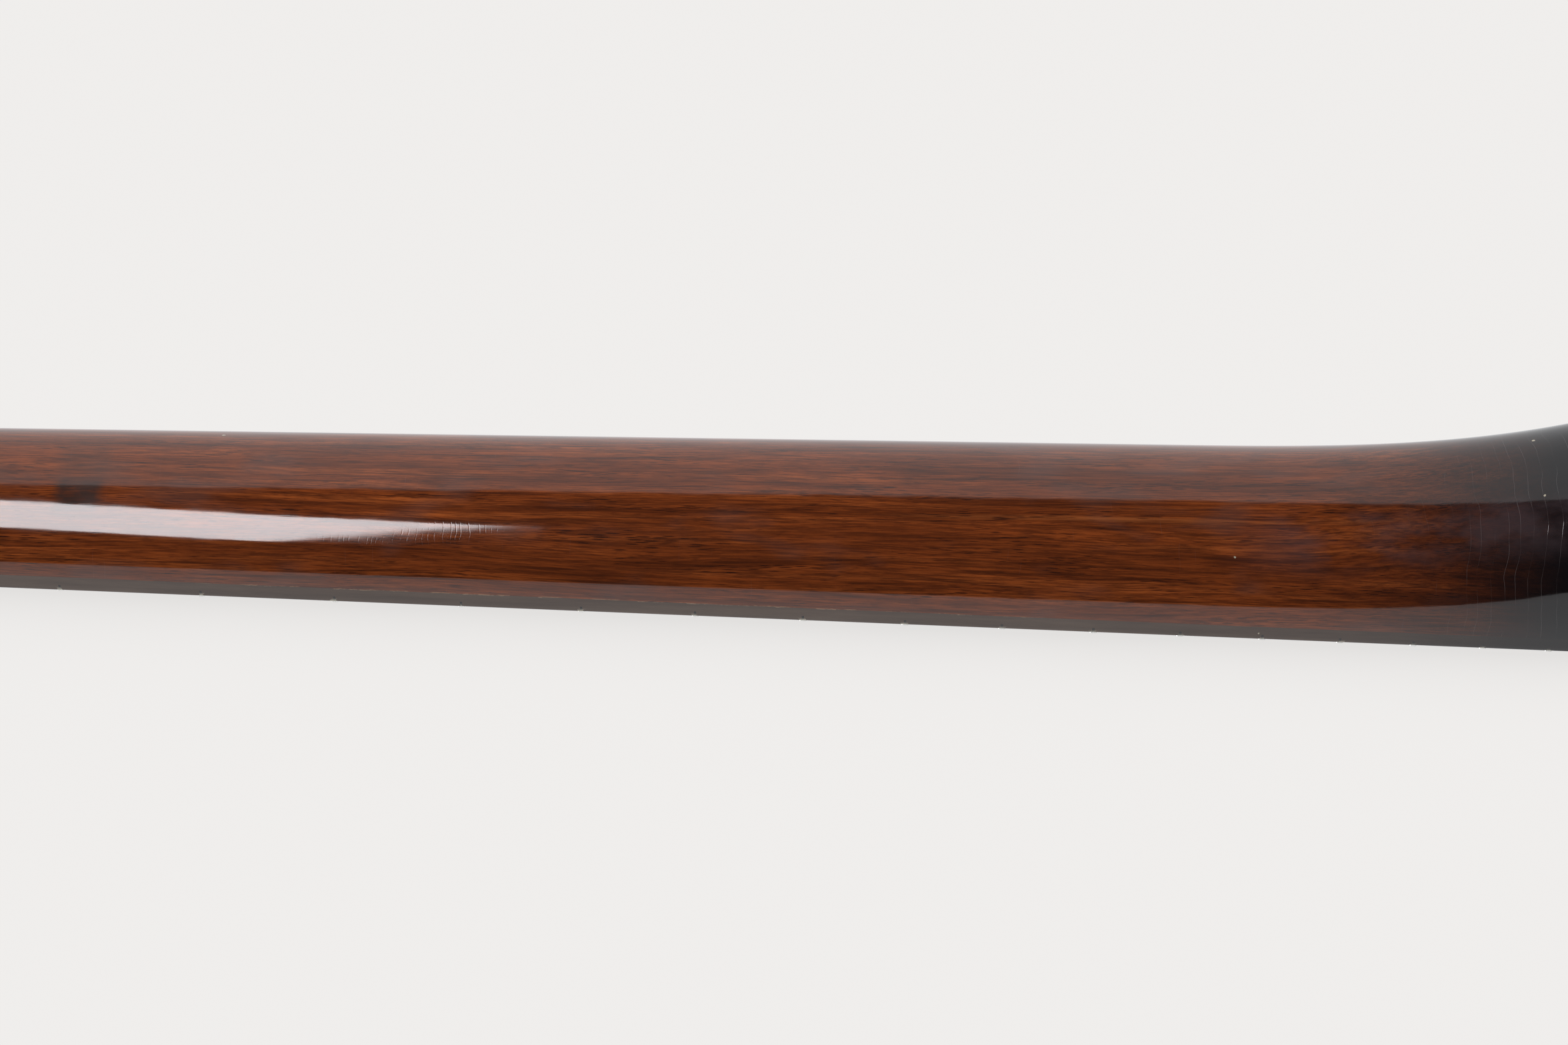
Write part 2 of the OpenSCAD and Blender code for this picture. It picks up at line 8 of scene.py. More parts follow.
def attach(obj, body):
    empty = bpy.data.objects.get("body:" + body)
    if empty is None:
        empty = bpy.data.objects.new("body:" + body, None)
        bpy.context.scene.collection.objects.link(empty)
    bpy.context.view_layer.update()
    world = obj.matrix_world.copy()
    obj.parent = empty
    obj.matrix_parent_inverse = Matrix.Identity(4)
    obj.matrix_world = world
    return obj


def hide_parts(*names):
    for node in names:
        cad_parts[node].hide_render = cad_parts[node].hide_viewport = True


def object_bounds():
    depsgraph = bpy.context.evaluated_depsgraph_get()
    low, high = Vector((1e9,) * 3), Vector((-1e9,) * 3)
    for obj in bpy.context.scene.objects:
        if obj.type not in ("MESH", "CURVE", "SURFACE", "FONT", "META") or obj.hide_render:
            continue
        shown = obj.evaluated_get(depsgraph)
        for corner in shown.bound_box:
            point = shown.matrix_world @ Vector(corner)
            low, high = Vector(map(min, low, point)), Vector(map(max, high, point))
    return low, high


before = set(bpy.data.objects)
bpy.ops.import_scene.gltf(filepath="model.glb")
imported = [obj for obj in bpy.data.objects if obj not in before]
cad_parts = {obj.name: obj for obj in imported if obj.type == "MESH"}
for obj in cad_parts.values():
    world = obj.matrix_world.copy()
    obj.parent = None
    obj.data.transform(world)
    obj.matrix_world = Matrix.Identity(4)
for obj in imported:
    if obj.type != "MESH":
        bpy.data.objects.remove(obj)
cad_low, cad_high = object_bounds()


# ---------- Neck dimensions, in metres ----------

MM = 0.001
SCALE_LENGTH = 0.62865
NUT_WIDTH = 0.0429
TWELFTH_WIDTH = 0.0524
FIRST_DEPTH = 0.0149
TWELFTH_DEPTH = 0.0181
HEEL_DEPTH = 0.046
HEEL_START = 0.1189
BOARD_THICKNESS = 0.0055
BOARD_RADIUS = 0.3048
FRET_COUNT = 22
HEAD_ANGLE = math.radians(17)
HEAD_THICKNESS = 0.0145
NUT_THICKNESS = 0.005
TENON_LOW, TENON_HIGH = Vector((-0.019, 0.0, -0.060)), Vector((0.019, 0.025, 0.001))


def fret_distance(number):
    return SCALE_LENGTH * (1 - 2 ** (-number / 12))


NUT_Z = fret_distance(19)


def fret_z(number):
    return NUT_Z - fret_distance(number)


BOARD_END = fret_z(22) - 0.006


def ease(t):
    t = min(max(t, 0.0), 1.0)
    return t * t * (3 - 2 * t)


def mix(a, b, t):
    return a + (b - a) * t


def neck_half(z):
    return NUT_WIDTH / 2 + (TWELFTH_WIDTH - NUT_WIDTH) / 2 * (NUT_Z - z) / fret_distance(12)


def heel_share(z):
    return max(0.0, 1 - z / HEEL_START)


def shaft_depth(z):
    along = (fret_z(1) - z) / (fret_z(1) - fret_z(12))
    return FIRST_DEPTH + (TWELFTH_DEPTH - FIRST_DEPTH) * along


def neck_depth(z):
    return shaft_depth(z) + (HEEL_DEPTH - shaft_depth(0)) * heel_share(z) ** 2.8


def section_power(z):
    return 2.15 + 0.65 * heel_share(z) ** 2


# ---------- Headstock outline, by the distance up from the nut's back edge ----------

FLARE_LENGTH = 0.032
FLARE_HALF = 0.0315
TIP_HALF = 0.038
DOME_START = 0.140
DOME_LENGTH = 0.026


def head_half(h):
    if h <= 0:
        return NUT_WIDTH / 2
    if h < FLARE_LENGTH:
        return mix(NUT_WIDTH / 2, FLARE_HALF, ease(h / FLARE_LENGTH))
    return mix(FLARE_HALF, TIP_HALF, (h - FLARE_LENGTH) / (DOME_START - FLARE_LENGTH))


def dome_point(angle):
    c, s = math.cos(angle), math.sin(angle)
    return TIP_HALF * max(c, 0.0) ** 0.8, DOME_START + DOME_LENGTH * s ** 0.8


def head_to_row(x, y, h):
    c, s = math.cos(HEAD_ANGLE), math.sin(HEAD_ANGLE)
    return Vector((x, y * c + h * s, NUT_Z + NUT_THICKNESS - y * s + h * c))


# ---------- Mesh helpers ----------


def add_piece(name, verts, faces, body="neck"):
    mesh = bpy.data.meshes.new(name)
    mesh.from_pydata([tuple(v) for v in verts], [], faces)
    mesh.update()
    for polygon in mesh.polygons:
        polygon.use_smooth = True
    piece = bpy.data.objects.new(name, mesh)
    bpy.context.collection.objects.link(piece)
    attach(piece, body)
    return piece


def skin_rings(rings):
    """A capped skin through closed rings that all have the same number of points."""
    count = len(rings[0])
    verts = [v for ring in rings for v in ring]
    faces = []
    for r in range(len(rings) - 1):
        for k in range(count):
            a, b = r * count + k, r * count + (k + 1) % count
            faces.append((a, b, b + count, a + count))
    faces.append(tuple(range(count - 1, -1, -1)))
    top = (len(rings) - 1) * count
    faces.append(tuple(top + k for k in range(count)))
    return verts, faces


def join_skins(skins):
    """Several skins as the vertices and faces of one mesh."""
    verts, faces = [], []
    for skin_verts, skin_faces in skins:
        faces += [tuple(len(verts) + k for k in face) for face in skin_faces]
        verts += skin_verts
    return verts, faces


def sharpen(piece, degrees):
    """Smooth shading that breaks at edges sharper than an angle."""
    mesh = bmesh.new()
    mesh.from_mesh(piece.data)
    limit = math.radians(degrees)
    for edge in mesh.edges:
        if len(edge.link_faces) == 2 and edge.calc_face_angle(0) > limit:
            edge.smooth = False
    for face in mesh.faces:
        face.smooth = True
    mesh.to_mesh(piece.data)
    mesh.free()


# ---------- Camera ----------


VIEW_TURN, VIEW_TIP, VIEW_ROLL = math.radians(44.18), math.radians(2.99), math.radians(1.67)
VIEW_CENTRE = Vector((0, 0, 0.2155))
VIEW_DISTANCE, VIEW_RISE = 0.8597, 0.00186


def place_camera():
    """Points the camera at the neck's back, the headstock to its left; returns place and aim."""
    turn, tip, roll = VIEW_TURN, VIEW_TIP, VIEW_ROLL
    towards = Vector((math.sin(turn) * math.cos(tip), math.cos(turn) * math.cos(tip),
                      -math.sin(tip)))
    forward = -towards
    right = Vector((0, 0, -1))
    right = (right - forward * right.dot(forward)).normalized()
    up = right.cross(forward)
    rolled_right = right * math.cos(roll) + up * math.sin(roll)
    rolled_up = up * math.cos(roll) - right * math.sin(roll)
    camera = bpy.data.objects.new("camera", bpy.data.cameras.new("camera"))
    camera.data.lens = 84.19
    camera.data.sensor_width = 36
    camera.data.clip_start, camera.data.clip_end = 0.05, 20
    bpy.context.collection.objects.link(camera)
    place = VIEW_CENTRE + towards * VIEW_DISTANCE + rolled_up * VIEW_RISE
    axes = Matrix((rolled_right, rolled_up, -forward)).transposed()
    camera.matrix_world = Matrix.Translation(place) @ axes.to_4x4()
    bpy.context.scene.camera = camera
    return place, forward


EYE, FORWARD = place_camera()


# ---------- Node helpers ----------


class Graph:
    """Short calls for wiring one node tree."""

    def __init__(self, tree):
        self.tree = tree
        self.nodes = tree.nodes
        self.links = tree.links

    def add(self, kind, **settings):
        node = self.nodes.new(kind)
        for key, value in settings.items():
            setattr(node, key, value)
        return node

    def plug(self, socket, value):
        if isinstance(value, bpy.types.NodeSocket):
            self.links.new(value, socket)
        else:
            socket.default_value = value

    def math(self, operation, a, b=None, c=None):
        node = self.add("ShaderNodeMath", operation=operation)
        for socket, value in zip(node.inputs, (a, b, c)):
            if value is not None:
                self.plug(socket, value)
        return node.outputs[0]

    def step(self, value, start, end):
        """0 before start, 1 after end, smooth between them."""
        node = self.add("ShaderNodeMapRange", interpolation_type="SMOOTHSTEP")
        self.plug(node.inputs["Value"], value)
        self.plug(node.inputs["From Min"], start)
        self.plug(node.inputs["From Max"], end)
        return node.outputs["Result"]

    def fade(self, value, start, end):
        """1 before start, 0 after end, smooth between them."""
        return self.math("SUBTRACT", 1.0, self.step(value, start, end))

    def band(self, value, start, end, soft):
        """1 between two values, fading over a soft width."""
        return self.math("MULTIPLY", self.step(value, start - soft, start + soft),
                         self.fade(value, end - soft, end + soft))

    def dot(self, vector, axis):
        node = self.add("ShaderNodeVectorMath", operation="DOT_PRODUCT")
        self.plug(node.inputs[0], vector)
        node.inputs[1].default_value = axis
        return node.outputs["Value"]

    def scale(self, value, low, high, to_low, to_high):
        node = self.add("ShaderNodeMapRange", clamp=True)
        for key, v in (("Value", value), ("From Min", low), ("From Max", high),
                       ("To Min", to_low), ("To Max", to_high)):
            self.plug(node.inputs[key], v)
        return node.outputs["Result"]

    def blend(self, factor, a, b, mode="MIX"):
        node = self.add("ShaderNodeMix", data_type="RGBA", blend_type=mode)
        self.plug(node.inputs[0], factor)
        self.plug(node.inputs[6], a)
        self.plug(node.inputs[7], b)
        return node.outputs[2]

    def split(self, vector):
        node = self.add("ShaderNodeSeparateXYZ")
        self.plug(node.inputs[0], vector)
        return node.outputs

    def join(self, x, y, z):
        node = self.add("ShaderNodeCombineXYZ")
        for socket, value in zip(node.inputs, (x, y, z)):
            self.plug(socket, value)
        return node.outputs[0]

    def stretch(self, vector, size):
        node = self.add("ShaderNodeVectorMath", operation="MULTIPLY")
        self.plug(node.inputs[0], vector)
        self.plug(node.inputs[1], size)
        return node.outputs[0]

    def noise(self, vector, scale, detail=3.0, rough=0.55, warp=0.0):
        node = self.add("ShaderNodeTexNoise")
        self.plug(node.inputs["Vector"], vector)
        node.inputs["Scale"].default_value = scale
        node.inputs["Detail"].default_value = detail
        node.inputs["Roughness"].default_value = rough
        node.inputs["Distortion"].default_value = warp
        return node.outputs["Fac"]

    def cells(self, vector, scale):
        """Distance to the middle of the nearest of many scattered cells."""
        node = self.add("ShaderNodeTexVoronoi")
        self.plug(node.inputs["Vector"], vector)
        node.inputs["Scale"].default_value = scale
        return node.outputs["Distance"]

    def hairlines(self, along, scale, thin, wide):
        """Thin lines at uneven steps of one value."""
        node = self.add("ShaderNodeTexVoronoi", feature="DISTANCE_TO_EDGE",
                        voronoi_dimensions="1D")
        self.plug(node.inputs["W"], along)
        node.inputs["Scale"].default_value = scale
        return self.fade(node.outputs["Distance"], thin, wide)

    def ramp(self, value, *stops):
        node = self.add("ShaderNodeValToRGB")
        self.plug(node.inputs[0], value)
        elements = node.color_ramp.elements
        while len(elements) < len(stops):
            elements.new(0.5)
        for element, (place, colour) in zip(elements, stops):
            element.position = place
            element.color = (*colour, 1)
        return node.outputs[0]

    def use(self, group, **values):
        """Places a shared node group and returns its outputs."""
        node = self.add("ShaderNodeGroup", node_tree=group)
        for key, value in values.items():
            self.plug(node.inputs[key.replace("_", " ").capitalize()], value)
        return node.outputs


def shared_group(name, inputs, outputs, wire):
    """A node group made once; wire(graph, inputs) gives its outputs in order."""
    group = bpy.data.node_groups.new(name, "ShaderNodeTree")
    for label, kind, default in inputs:
        socket = group.interface.new_socket(label, in_out="INPUT",
                                            socket_type="NodeSocket" + kind)
        if default is not None:
            socket.default_value = default
    for label, kind in outputs:
        group.interface.new_socket(label, in_out="OUTPUT", socket_type="NodeSocket" + kind)
    g = Graph(group)
    source = g.add("NodeGroupInput")
    sink = g.add("NodeGroupOutput")
    results = wire(g, {label: source.outputs[label] for label, _, _ in inputs})
    for socket, value in zip(sink.inputs, results):
        g.plug(socket, value)
    return group


# ---------- Room: pale walls, a dark side behind the camera, a softbox and a floor ----------

PALE_WALL, DARK_WALL = (0.92, 0.93, 0.95, 1), (0.018, 0.018, 0.020, 1)
OUTER_WALL, BACKDROP = (0.72, 0.72, 0.73, 1), (0.868, 0.852, 0.838, 1)
LOW_FAR_LIGHT, HIGH_FAR_LIGHT, LOW_SIDE_LIGHT = 3.6, 1.2, 0.10
SHADOW_DEPTH, SHADOW_REACH = 0.125, 0.0066
SOFTBOX_LIGHT = 13.5
SOFTBOX_CENTRE = Vector((0.2449, 0.8541, 0.5285))
SOFTBOX_ACROSS = Vector((-0.96039, 0.27866, 0.0))
SOFTBOX_UP = Vector((-0.05991, -0.20648, 0.97661))
SOFTBOX_CORNERS = ((0.140, -0.1175), (0.219, 0.003), (0.368, 0.1405), (0.560, 0.318),
                   (-0.020, 0.256), (-0.202, 0.127), (-0.361, 0.014), (-0.111, -0.063))


def soft_shadow(g, direction):
    """Share of light that the neck keeps from the backdrop beside the board's treble edge."""
    low, high = (Vector((neck_half(z), -BOARD_THICKNESS, z)) - EYE for z in (0.04, 0.38))
    outward = low.cross(high).normalized()
    if outward.dot(-EYE) > 0:
        outward.negate()
    beside = g.dot(direction, outward)
    past_edge = g.math("MULTIPLY", g.math("MAXIMUM", beside, 0.0), -1 / SHADOW_REACH)
    behind = g.math("MULTIPLY", g.step(beside, -0.03, -0.005),
                    g.step(g.dot(direction, FORWARD), 0.90, 0.95))
    shade = g.math("MULTIPLY", g.math("EXPONENT", past_edge), behind)
    return g.math("MULTIPLY", shade, SHADOW_DEPTH)


def light_room():
    world = bpy.data.worlds.new("studio")
    bpy.context.scene.world = world
    world.use_nodes = True
    world.node_tree.nodes.clear()
    g = Graph(world.node_tree)
    direction = g.add("ShaderNodeTexCoord").outputs["Generated"]
    ahead = (math.sin(VIEW_TURN), math.cos(VIEW_TURN), 0)
    above = (-math.cos(VIEW_TURN), math.sin(VIEW_TURN), 0)
    lift = g.split(direction)[2]
    swing = g.math("ARCTAN2", g.dot(direction, above), g.dot(direction, ahead))
    swing = g.math("MULTIPLY", swing, 180 / math.pi)

    # The dark side is a long band that runs with the neck
    droop = g.math("MULTIPLY", g.math("MULTIPLY", lift, lift), 45)
    top_edge = g.math("SUBTRACT", g.math("MULTIPLY_ADD", lift, -20, 79), droop)
    low_edge = g.math("MULTIPLY_ADD", lift, -20, -51.5)
    below_top = g.step(g.math("SUBTRACT", top_edge, swing), -0.6, 0.6)
    above_low = g.step(g.math("SUBTRACT", swing, low_edge), -0.6, 0.6)
    dark = g.math("MULTIPLY", below_top, above_low)

    # The walls are brighter beyond the headstock, and a little brighter on the playing side
    far_end = g.step(lift, 0.42, 0.60)
    low_side = g.step(g.math("SUBTRACT", low_edge, swing), 0, 8)
    sided = g.math("MULTIPLY_ADD", low_side, LOW_FAR_LIGHT - HIGH_FAR_LIGHT, HIGH_FAR_LIGHT)
    strength = g.math("ADD", g.math("MULTIPLY_ADD", far_end, sided, 1.0),
                      g.math("MULTIPLY", low_side, LOW_SIDE_LIGHT))
    walls = g.blend(dark, PALE_WALL, DARK_WALL)
    light_path = g.add("ShaderNodeLightPath")
    seen = light_path.outputs["Is Camera Ray"]

    # Gloss sees a pale floor and ceiling under and over the dark side
    outer = g.math("ADD", g.step(g.math("MULTIPLY", lift, -1), 0.26, 0.44),
                   g.step(lift, 0.56, 0.72))
    outer = g.math("MULTIPLY", g.math("MULTIPLY", outer, dark),
                   light_path.outputs["Is Glossy Ray"])
    walls = g.blend(outer, walls, OUTER_WALL)
    background = g.add("ShaderNodeBackground")
    backdrop = g.blend(soft_shadow(g, direction), BACKDROP, (0, 0, 0, 1))
    g.plug(background.inputs["Color"], g.blend(seen, walls, backdrop))
    g.plug(background.inputs["Strength"], g.scale(seen, 0, 1, strength, 1.0))
    output = g.add("ShaderNodeOutputWorld")
    g.links.new(background.outputs[0], output.inputs[0])
    world.cycles.sampling_method = "MANUAL"
    world.cycles.sample_map_resolution = 1024
    bpy.context.scene.view_settings.view_transform = "Standard"
    bpy.context.scene.view_settings.look = "None"


def stage_piece(name, verts, faces, material):
    mesh = bpy.data.meshes.new(name)
    mesh.from_pydata([tuple(v) for v in verts], [], faces)
    mesh.materials.append(material)
    piece = bpy.data.objects.new(name, mesh)
    bpy.context.collection.objects.link(piece)
    return piece


def make_softbox():
    """A slanted softbox; its lower edge fades, the other edges are sharp."""
    corners = [SOFTBOX_CENTRE + SOFTBOX_ACROSS * x + SOFTBOX_UP * y for x, y in SOFTBOX_CORNERS]
    material = bpy.data.materials.new("softbox_cloth")
    material.use_nodes = True
    material.node_tree.nodes.clear()
    g = Graph(material.node_tree)
    place = g.add("ShaderNodeTexCoord").outputs["Object"]
    inward = SOFTBOX_ACROSS * 0.212 + SOFTBOX_UP * 0.977
    reach = g.math("SUBTRACT", g.dot(place, inward), corners[0].dot(inward))
    glow = g.add("ShaderNodeEmission")
    glow.inputs["Color"].default_value = (1.0, 0.978, 1.007, 1)
    g.plug(glow.inputs["Strength"],
           g.math("MULTIPLY", g.step(reach, -0.004, 0.026), SOFTBOX_LIGHT))
    output = g.add("ShaderNodeOutputMaterial")
    g.links.new(glow.outputs[0], output.inputs[0])
    softbox = stage_piece("softbox", corners, [tuple(range(len(corners)))], material)
    softbox.visible_camera = False
    softbox.visible_shadow = False


def make_floor():
    """A pale disc under the tenon that fades into the room."""
    steps, size = 96, 0.44
    top = cad_low[2] - 1.5 * MM
    angles = [2 * math.pi * k / steps for k in range(steps)]
    verts = [Vector((size * math.cos(a), size * math.sin(a), top)) for a in angles]
    material = bpy.data.materials.new("pale_floor")
    material.use_nodes = True
    g = Graph(material.node_tree)
    shader = g.nodes["Principled BSDF"]
    place = g.add("ShaderNodeTexCoord").outputs["Object"]
    x, y, z = g.split(place)
    away = g.math("SQRT", g.math("ADD", g.math("MULTIPLY", x, x), g.math("MULTIPLY", y, y)))
    speck = g.noise(place, 260, 4, 0.6)
    g.plug(shader.inputs["Base Color"], g.ramp(speck, (0.3, (0.400, 0.392, 0.382)),
                                               (0.7, (0.430, 0.422, 0.412))))
    shader.inputs["Roughness"].default_value = 0.9
    g.plug(shader.inputs["Alpha"], g.math("SUBTRACT", 1.0, g.step(away, 0.12, 0.42)))
    floor = stage_piece("floor", verts, [tuple(range(steps))], material)
    floor.visible_glossy = False


light_room()
make_softbox()
make_floor()


# ---------- Wood of the neck ----------

SECTION_STEPS = 120
CORNER_ROUND = 1.4 * MM
TURN_RUN_IN, TURN_LENGTH = 0.012, 0.045


def round_point(share, half, depth, power):
    angle = math.pi * share
    c, s = math.cos(angle), math.sin(angle)
    return (math.copysign(abs(c) ** (2 / power), c) * half, abs(s) ** (2 / power) * depth)


def square_point(share, half, depth):
    """A point round a rectangle whose two back corners are rounded, from the treble edge."""
    corner = CORNER_ROUND
    side, bend = depth - corner, corner * math.pi / 2
    lengths = (side, bend, 2 * (half - corner), bend, side)
    shares = (0.22, 0.08, 0.40, 0.08, 0.22)
    for n, (length, part) in enumerate(zip(lengths, shares)):
        if share <= part + 1e-9 or n == 4:
            t = min(share / part, 1.0)
            if n == 0:
                return half, t * side
            if n == 1:
                a = t * math.pi / 2
                return half - corner + corner * math.cos(a), side + corner * math.sin(a)
            if n == 2:
                return mix(half - corner, corner - half, t), depth
            if n == 3:
                a = t * math.pi / 2
                return corner - half - corner * math.sin(a), side + corner * math.cos(a)
            return -half, side * (1 - t)
        share -= part


def neck_section(half, depth, power, square):
    points = []
    for k in range(SECTION_STEPS + 1):
        share = k / SECTION_STEPS
        rx, ry = round_point(share, half, depth, power)
        if square > 0:
            sx, sy = square_point(share, half, depth)
            rx, ry = mix(rx, sx, square), mix(ry, sy, square)
        points.append((rx, ry))
    return points


def stand(points, front, tilt):
    c, s = math.cos(tilt), math.sin(tilt)
    return [Vector((x, front[0] + y * c, front[1] - y * s)) for x, y in points]


def wood_rings():
    """Sections of the heel, the shaft and the turn into the headstock."""
    heel, shaft, turn = 70, 40, 54
    turn_from = NUT_Z - TURN_RUN_IN
    heights = [HEEL_START * i / heel for i in range(heel + 1)]
    heights += [mix(HEEL_START, turn_from, i / shaft) for i in range(1, shaft)]
    rings = [stand(neck_section(neck_half(z), neck_depth(z), section_power(z), 0), (0, z), 0)
             for z in heights]
    low = neck_depth(turn_from)
    for i in range(turn + 1):
        s = TURN_LENGTH * i / turn
        h = s - TURN_RUN_IN - NUT_THICKNESS
        half = neck_half(turn_from + s) if s < TURN_RUN_IN else head_half(h)
        depth = mix(low, HEAD_THICKNESS, ease(s / 0.036))
        tilt = HEAD_ANGLE * ease((s - 0.002) / 0.034)
        square = ease((s - 0.008) / 0.030)
        if h < 0:
            front = (0, turn_from + s)
        else:
            front = (h * math.sin(HEAD_ANGLE), NUT_Z + NUT_THICKNESS + h * math.cos(HEAD_ANGLE))
        rings.append(stand(neck_section(half, depth, 2.15, square), front, tilt))
    # A tongue hidden inside the headstock closes the joint
    h += 0.6 * MM
    inset = 0.2 * MM
    front = (h * math.sin(HEAD_ANGLE), NUT_Z + NUT_THICKNESS + h * math.cos(HEAD_ANGLE))
    tongue = neck_section(half - inset, HEAD_THICKNESS - 2 * inset, 2.15, 1)
    rings.append([point + Vector((0, inset, 0)) for point in stand(tongue, front, HEAD_ANGLE)])
    return rings


def make_neck_wood():
    piece = add_piece("neck_wood", *skin_rings(wood_rings()))
    sharpen(piece, 40)
    return piece


def head_outline():
    """Points round the headstock's rim with their outward directions, treble side first."""
    base = TURN_LENGTH - TURN_RUN_IN - NUT_THICKNESS
    heights = [mix(base, FLARE_LENGTH, i / 4) for i in range(5)]
    heights += [mix(FLARE_LENGTH, DOME_START, i / 24) for i in range(1, 24)]
    points = [(head_half(h), h) for h in heights]
    points += [dome_point(math.pi / 2 * i / 40) for i in range(40)]
    points.append((0.0, DOME_START + DOME_LENGTH))
    points += [(-x, h) for x, h in reversed(points[:-1])]
    outline = []
    for i, (x, h) in enumerate(points):
        before = points[max(i - 1, 0)]
        after = points[min(i + 1, len(points) - 1)]
        run, rise = after[0] - before[0], after[1] - before[1]
        size = math.hypot(run, rise)
        outline.append((x, h, rise / size, -run / size))
    return outline


def make_headstock_wood():
    outline = head_outline()
    corner = CORNER_ROUND
    profile = [(0.0, 0.0), (0.0, 0.004), (0.0, 0.009), (0.0, HEAD_THICKNESS - corner)]
    for i in range(1, 9):
        a = math.pi / 2 * i / 8
        profile.append((corner * (1 - math.cos(a)), HEAD_THICKNESS - corner + corner * math.sin(a)))
    rings = [
        [head_to_row(x - nx * inset, y, h - nh * inset) for x, h, nx, nh in outline]
        for inset, y in profile
    ]
    piece = add_piece("headstock_wood", *skin_rings(rings))
    sharpen(piece, 40)
    return piece


def make_tenon():
    """The tenon's block, with its saw-cut edges eased."""
    mesh = bmesh.new()
    bmesh.ops.create_cube(mesh, size=1)
    for vert in mesh.verts:
        vert.co = Vector([mix(TENON_LOW[i], TENON_HIGH[i], vert.co[i] + 0.5) for i in range(3)])
    bmesh.ops.bevel(mesh, geom=list(mesh.edges), offset=0.6 * MM, segments=3,
                    affect="EDGES", profile=0.5)
    data = bpy.data.meshes.new("tenon_wood")
    mesh.to_mesh(data)
    mesh.free()
    piece = bpy.data.objects.new("tenon_wood", data)
    bpy.context.collection.objects.link(piece)
    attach(piece, "neck")
    return piece


neck_wood = make_neck_wood()
headstock_wood = make_headstock_wood()
tenon_wood = make_tenon()
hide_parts("neck_blank", "headstock_wing_treble", "headstock_wing_bass")


# ---------- Fretboard, frets, dots and tuner buttons ----------

ROLL = 0.7 * MM
CROWN_HALF, CROWN_HEIGHT = 1.2 * MM, 1.1 * MM
CROWN_BEVEL = 1.6 * MM
DOT_FRETS = (3, 5, 7, 9, 15, 17, 19, 21)
DOT_RADIUS = 0.003175
SIDE_DOT_RADIUS = 1.0 * MM
TWIN_DOT_OFFSET, TWIN_PIN_OFFSET = 10.5 * MM, 2.0 * MM


def board_top(x, rise=0.0):
    """Height of the playing surface, in -y, at a distance from the centre line."""
    return BOARD_RADIUS - BOARD_THICKNESS - math.sqrt((BOARD_RADIUS + rise) ** 2 - x * x)


def board_ring(z):
    half = neck_half(z)
    edge = board_top(half - ROLL)
    side = [(half, 0.0), (half, -0.0012), (half, -0.0026), (half, edge + ROLL)]
    for i in range(1, 7):
        a = math.pi / 2 * i / 6
        side.append((half - ROLL + ROLL * math.cos(a), edge + ROLL - ROLL * math.sin(a)))
    top = [(x, board_top(x)) for x in (mix(half - ROLL, 0, i / 12) for i in range(1, 13))]
    right = side + top
    ring = right + [(-x, y) for x, y in reversed(right[:-1])]
    return [Vector((x, y, z)) for x, y in ring]


def make_fretboard():
    low, high = BOARD_END + 0.4 * MM, NUT_Z - 0.2 * MM
    steps = [BOARD_END] + [mix(low, high, i / 80) for i in range(81)] + [NUT_Z]
    piece = add_piece("rosewood_board", *skin_rings([board_ring(z) for z in steps]))
    sharpen(piece, 40)
    return piece


def fret_ring(z, x, share):
    """Section of a fret's crown; share shrinks it towards the bevelled end."""
    base = board_top(x)
    ring = []
    for i in range(11):
        a = math.pi * i / 10
        wide = CROWN_HALF * (0.55 + 0.45 * share)
        ring.append((math.cos(a) * wide, -CROWN_HEIGHT * share * math.sin(a) ** 0.85))
    ring += [(-CROWN_HALF * 0.5, 0.0004), (CROWN_HALF * 0.5, 0.0004)]
    return [Vector((x, base + dy, z + dz)) for dz, dy in ring]


def make_frets():
    """Every fret's crown, bevelled at both ends."""
    ends = ((0.1 * MM, 0.03), (0.45 * MM, 0.33), (0.85 * MM, 0.66), (1.2 * MM, 0.90),
            (CROWN_BEVEL, 1.0))
    skins = []
    for number in range(1, FRET_COUNT + 1):
        z = fret_z(number)
        half = neck_half(z)
        flat = half - CROWN_BEVEL
        places = [(half - inset, share) for inset, share in ends]
        places += [(mix(flat, -flat, i / 20), 1.0) for i in range(1, 20)]
        places += [(inset - half, share) for inset, share in reversed(ends)]
        skins.append(skin_rings([fret_ring(z, x, share) for x, share in places]))
    piece = add_piece("fret_crowns", *join_skins(skins))
    sharpen(piece, 60)
    return piece


def inlay(place, radius, count=40):
    """Skin of a thin inlay: place(u, v, rise) puts a point of it on its surface."""
    sunk, edge, face = -0.6 * MM, 0.01 * MM, 0.04 * MM
    rings = ((radius, sunk), (radius, edge), (radius * 0.985, face), (radius * 0.6, face),
             (radius * 0.2, face))
    angles = [2 * math.pi * k / count for k in range(count)]
    return skin_rings([[place(r * math.cos(a), r * math.sin(a), up) for a in angles]
                       for r, up in rings])


def dot_place(number):
    return (fret_z(number) + fret_z(number - 1)) / 2


def make_dots():
    """Dots in the playing face, with a pair at the twelfth fret."""
    spots = [(0.0, dot_place(n)) for n in DOT_FRETS]
    spots += [(side * TWIN_DOT_OFFSET, dot_place(12)) for side in (-1, 1)]
    skins = []
    for x, z in spots:
        def on_face(u, v, up):
            return Vector((x + u, board_top(x + u, up), z + v))
        skins.append(inlay(on_face, DOT_RADIUS))
    piece = add_piece("pearl_dots", *join_skins(skins))
    sharpen(piece, 30)
    return piece


